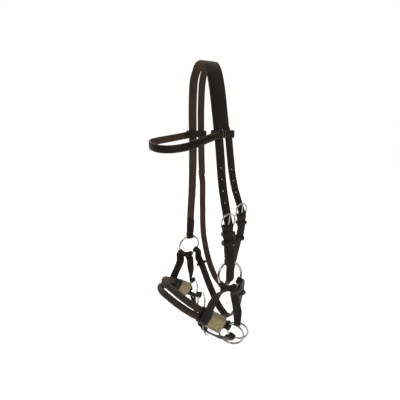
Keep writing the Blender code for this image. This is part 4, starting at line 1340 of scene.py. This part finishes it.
def chin_half(side):
    plane = facing(side, *JAW_FACING)
    return hanging_half(CHIN, side, JAW_CENTRE, plane, CHIN_LOOP_AT, JAW_RING, CHIN_ACROSS,
                        CHIN_WIDTH, CHIN_NARROW, CHIN_LOOP_OUT, CHIN_BACK)


def chin_base():
    near = smooth(on_side(CHIN, NEAR), 4)
    far = smooth(on_side(CHIN[:-1], FAR), 4)
    return [*near, *reversed(far)]


def chin_bar_frame():
    base = chin_base()
    i = next(k for k, p in enumerate(base) if p.y > CHIN_BAR_AT)
    middle = base[i - 1].lerp(base[i], (CHIN_BAR_AT - base[i - 1].y) / (base[i].y - base[i - 1].y))
    up = (base[i - 1] - base[i]).normalized()
    across = (CHIN_ACROSS - up * CHIN_ACROSS.dot(up)).normalized()
    out = across.cross(up)
    return (middle, across, up, out) if out.z < 0 else (middle, -across, up, -out)


def point_at_y(points, y):
    for a, b in zip(points, points[1:]):
        if a.y <= y <= b.y:
            return a.lerp(b, (y - a.y) / (b.y - a.y))
    return points[-1]


def off_chin(points, lifts):
    found = frames(points, CHIN_ACROSS)
    return [p + (n if n.z < 0 else -n) * lift for (p, _, n), lift in zip(found, lifts)]


def make_chin_strap():
    frame_ = chin_bar_frame()
    middle, across, up, out = frame_
    base = chin_base()
    near, near_across, near_widths = chin_half(NEAR)
    bar = middle.y
    heights = [bar + y for y in (-38, -30, -21, -15, -7, 0, 4, 9, 15, 21, 27)]
    low = [point_at_y(base, y) for y in heights]
    billet_low = off_chin(low, [billet_lift(bar - y) for y in heights])
    loop = [i for i, p in enumerate(near) if p.y < bar - 42 and i > 0]
    points = [*[near[i] for i in reversed(loop)], *billet_low]
    turned = [*[near_across[i] for i in reversed(loop)], *[CHIN_ACROSS] * len(billet_low)]
    widths = [*[near_widths[i] for i in reversed(loop)], *[CHIN_WIDTH - 2] * len(billet_low)]
    line = Line(points, turned, widths)
    holes = [tongue_hole(frame_, 1.8), round_hole(point_at_y(base, bar - 27), out, 1.5)]
    holes.append(round_hole(point_at_y(base, bar - 39), out, 1.5))
    place = billet_low[-2]
    strap_piece("chin_billet_leather", line, out, place, "chin_billet", "chin_unit", (3, 9), holes=holes)
    far, far_across, far_widths = chin_half(FAR)
    fold = bar_fold(frame_, CHIN_WIRE)
    low = [point_at_y(base, bar + y) for y in (9, 14, 20, 27)]
    outer = off_chin(low, [LAYER / 2, LAYER / 2, LAYER / 2, LAYER / 4])
    inner = off_chin(low[:3], [-LAYER / 2] * 3)
    rest = [i for i, p in enumerate(far) if p.y > bar + 33]
    points = [*reversed(inner), *fold, *outer, *[far[i] for i in rest]]
    count = len(inner) + len(fold) + len(outer)
    turned = [*[CHIN_ACROSS] * count, *[far_across[i] for i in rest]]
    widths = [*[CHIN_WIDTH - 2] * count, *[far_widths[i] for i in rest]]
    line = Line(points, turned, widths, 1.6)
    holes = [tongue_hole(frame_, 1.8)]
    strap_piece("chin_strap_leather", line, out, low[-1], "chin_strap", "chin_unit", (0, 3), holes=holes)
    make_buckle("chin", frame_, CHIN_BUCKLE, CHIN_WIRE)
    place = point_at_y(base, bar + 15) + out * LAYER / 2
    inside = (CHIN_WIDTH - 0.8, 3 * LAYER + 1.4)
    make_keeper("chin_keeper", place, (across, up, out), inside, "chin_unit", 6)


# Camera, floor and light


def aim(obj, place, target, axis="-Z"):
    """Places an object with its axis towards the target."""
    obj.location = place
    obj.rotation_euler = (Vector(target) - Vector(place)).to_track_quat(axis, "Y").to_euler()


def make_stage():
    bm = bmesh.new()
    bmesh.ops.create_circle(bm, cap_ends=True, segments=96, radius=FLOOR_RADIUS)
    bmesh.ops.translate(bm, verts=bm.verts, vec=(0, 0, FLOOR_Z))
    floor = new_object("floor", bm)
    n = Nodes("pale_floor")
    n.finish(colour=(0.92, 0.92, 0.915), rough=0.9, specular=0.1)
    n.put(n.shader.inputs["Emission Color"], (1, 1, 0.99, 1))
    n.put(n.shader.inputs["Emission Strength"], FLOOR_GLOW)
    floor.data.materials.append(n.material)


def area_light(name, place, size, power):
    data = bpy.data.lights.new(name, "AREA")
    data.shape = "RECTANGLE"
    data.size, data.size_y = size
    data.energy = power
    light = bpy.data.objects.new(name, data)
    aim(light, place, LIGHT_TARGET)
    bpy.context.scene.collection.objects.link(light)


def dark_card(name, place, size):
    """A black card that the camera doesn't see; it gives the metal and the leather their dark side."""
    bm = bmesh.new()
    bmesh.ops.create_grid(bm, x_segments=1, y_segments=1, size=0.5)
    card = new_object(name, bm)
    card.scale = (*size, 1)
    aim(card, place, LIGHT_TARGET, "Z")
    black = Nodes(name).finish(colour=(0.012, 0.012, 0.012), rough=1.0, specular=0.0)
    card.data.materials.append(black)
    card.visible_camera = False


def make_light():
    dark_card("front_card", (-0.7, -2.6, 0.3), (5.0, 4.4))
    dark_card("left_card", (-2.6, 0.2, 0.0), (3.2, 3.6))
    dark_card("right_card", (2.6, -0.6, 0.0), (3.2, 3.6))
    area_light("key_light", (-1.2, -1.6, 1.0), (0.55, 0.9), 15)
    area_light("fill_light", (1.7, -1.2, 0.1), (0.35, 1.3), 5)
    area_light("back_light", (0.4, 1.9, 0.9), (1.2, 0.8), 12)
    world = bpy.data.worlds.new("studio")
    world.use_nodes = True
    background = world.node_tree.nodes["Background"]
    background.inputs["Color"].default_value = (1, 1, 0.995, 1)
    background.inputs["Strength"].default_value = 1.0
    bpy.context.scene.world = world


def make_camera():
    data = bpy.data.cameras.new("camera")
    data.sensor_width = 36
    data.lens = CAMERA_LENS
    camera = bpy.data.objects.new("camera", data)
    aim(camera, CAMERA_PLACE, CAMERA_TARGET)
    bpy.context.scene.collection.objects.link(camera)
    bpy.context.scene.camera = camera
    bpy.context.scene.view_settings.view_transform = "Standard"


def main():
    make_camera()
    make_light()
    make_stage()
    make_crown()
    make_browband()
    make_cheekpiece()
    make_throat_latch()
    make_buckle("cheek", bar_frame(front_route(NEAR), CHEEK_BAR_Z), CHEEK_BUCKLE)
    make_buckle("throat", bar_frame(rear_route(NEAR), THROAT_BAR_Z), THROAT_BUCKLE)
    make_headstall_keepers()
    make_rings()
    for label, side in SIDES.items():
        make_yoke(label, side)
        make_tabs(label, side)
    make_nose_tubes()
    make_nose_ends()
    make_jaw_strap()
    make_chin_strap()


main()
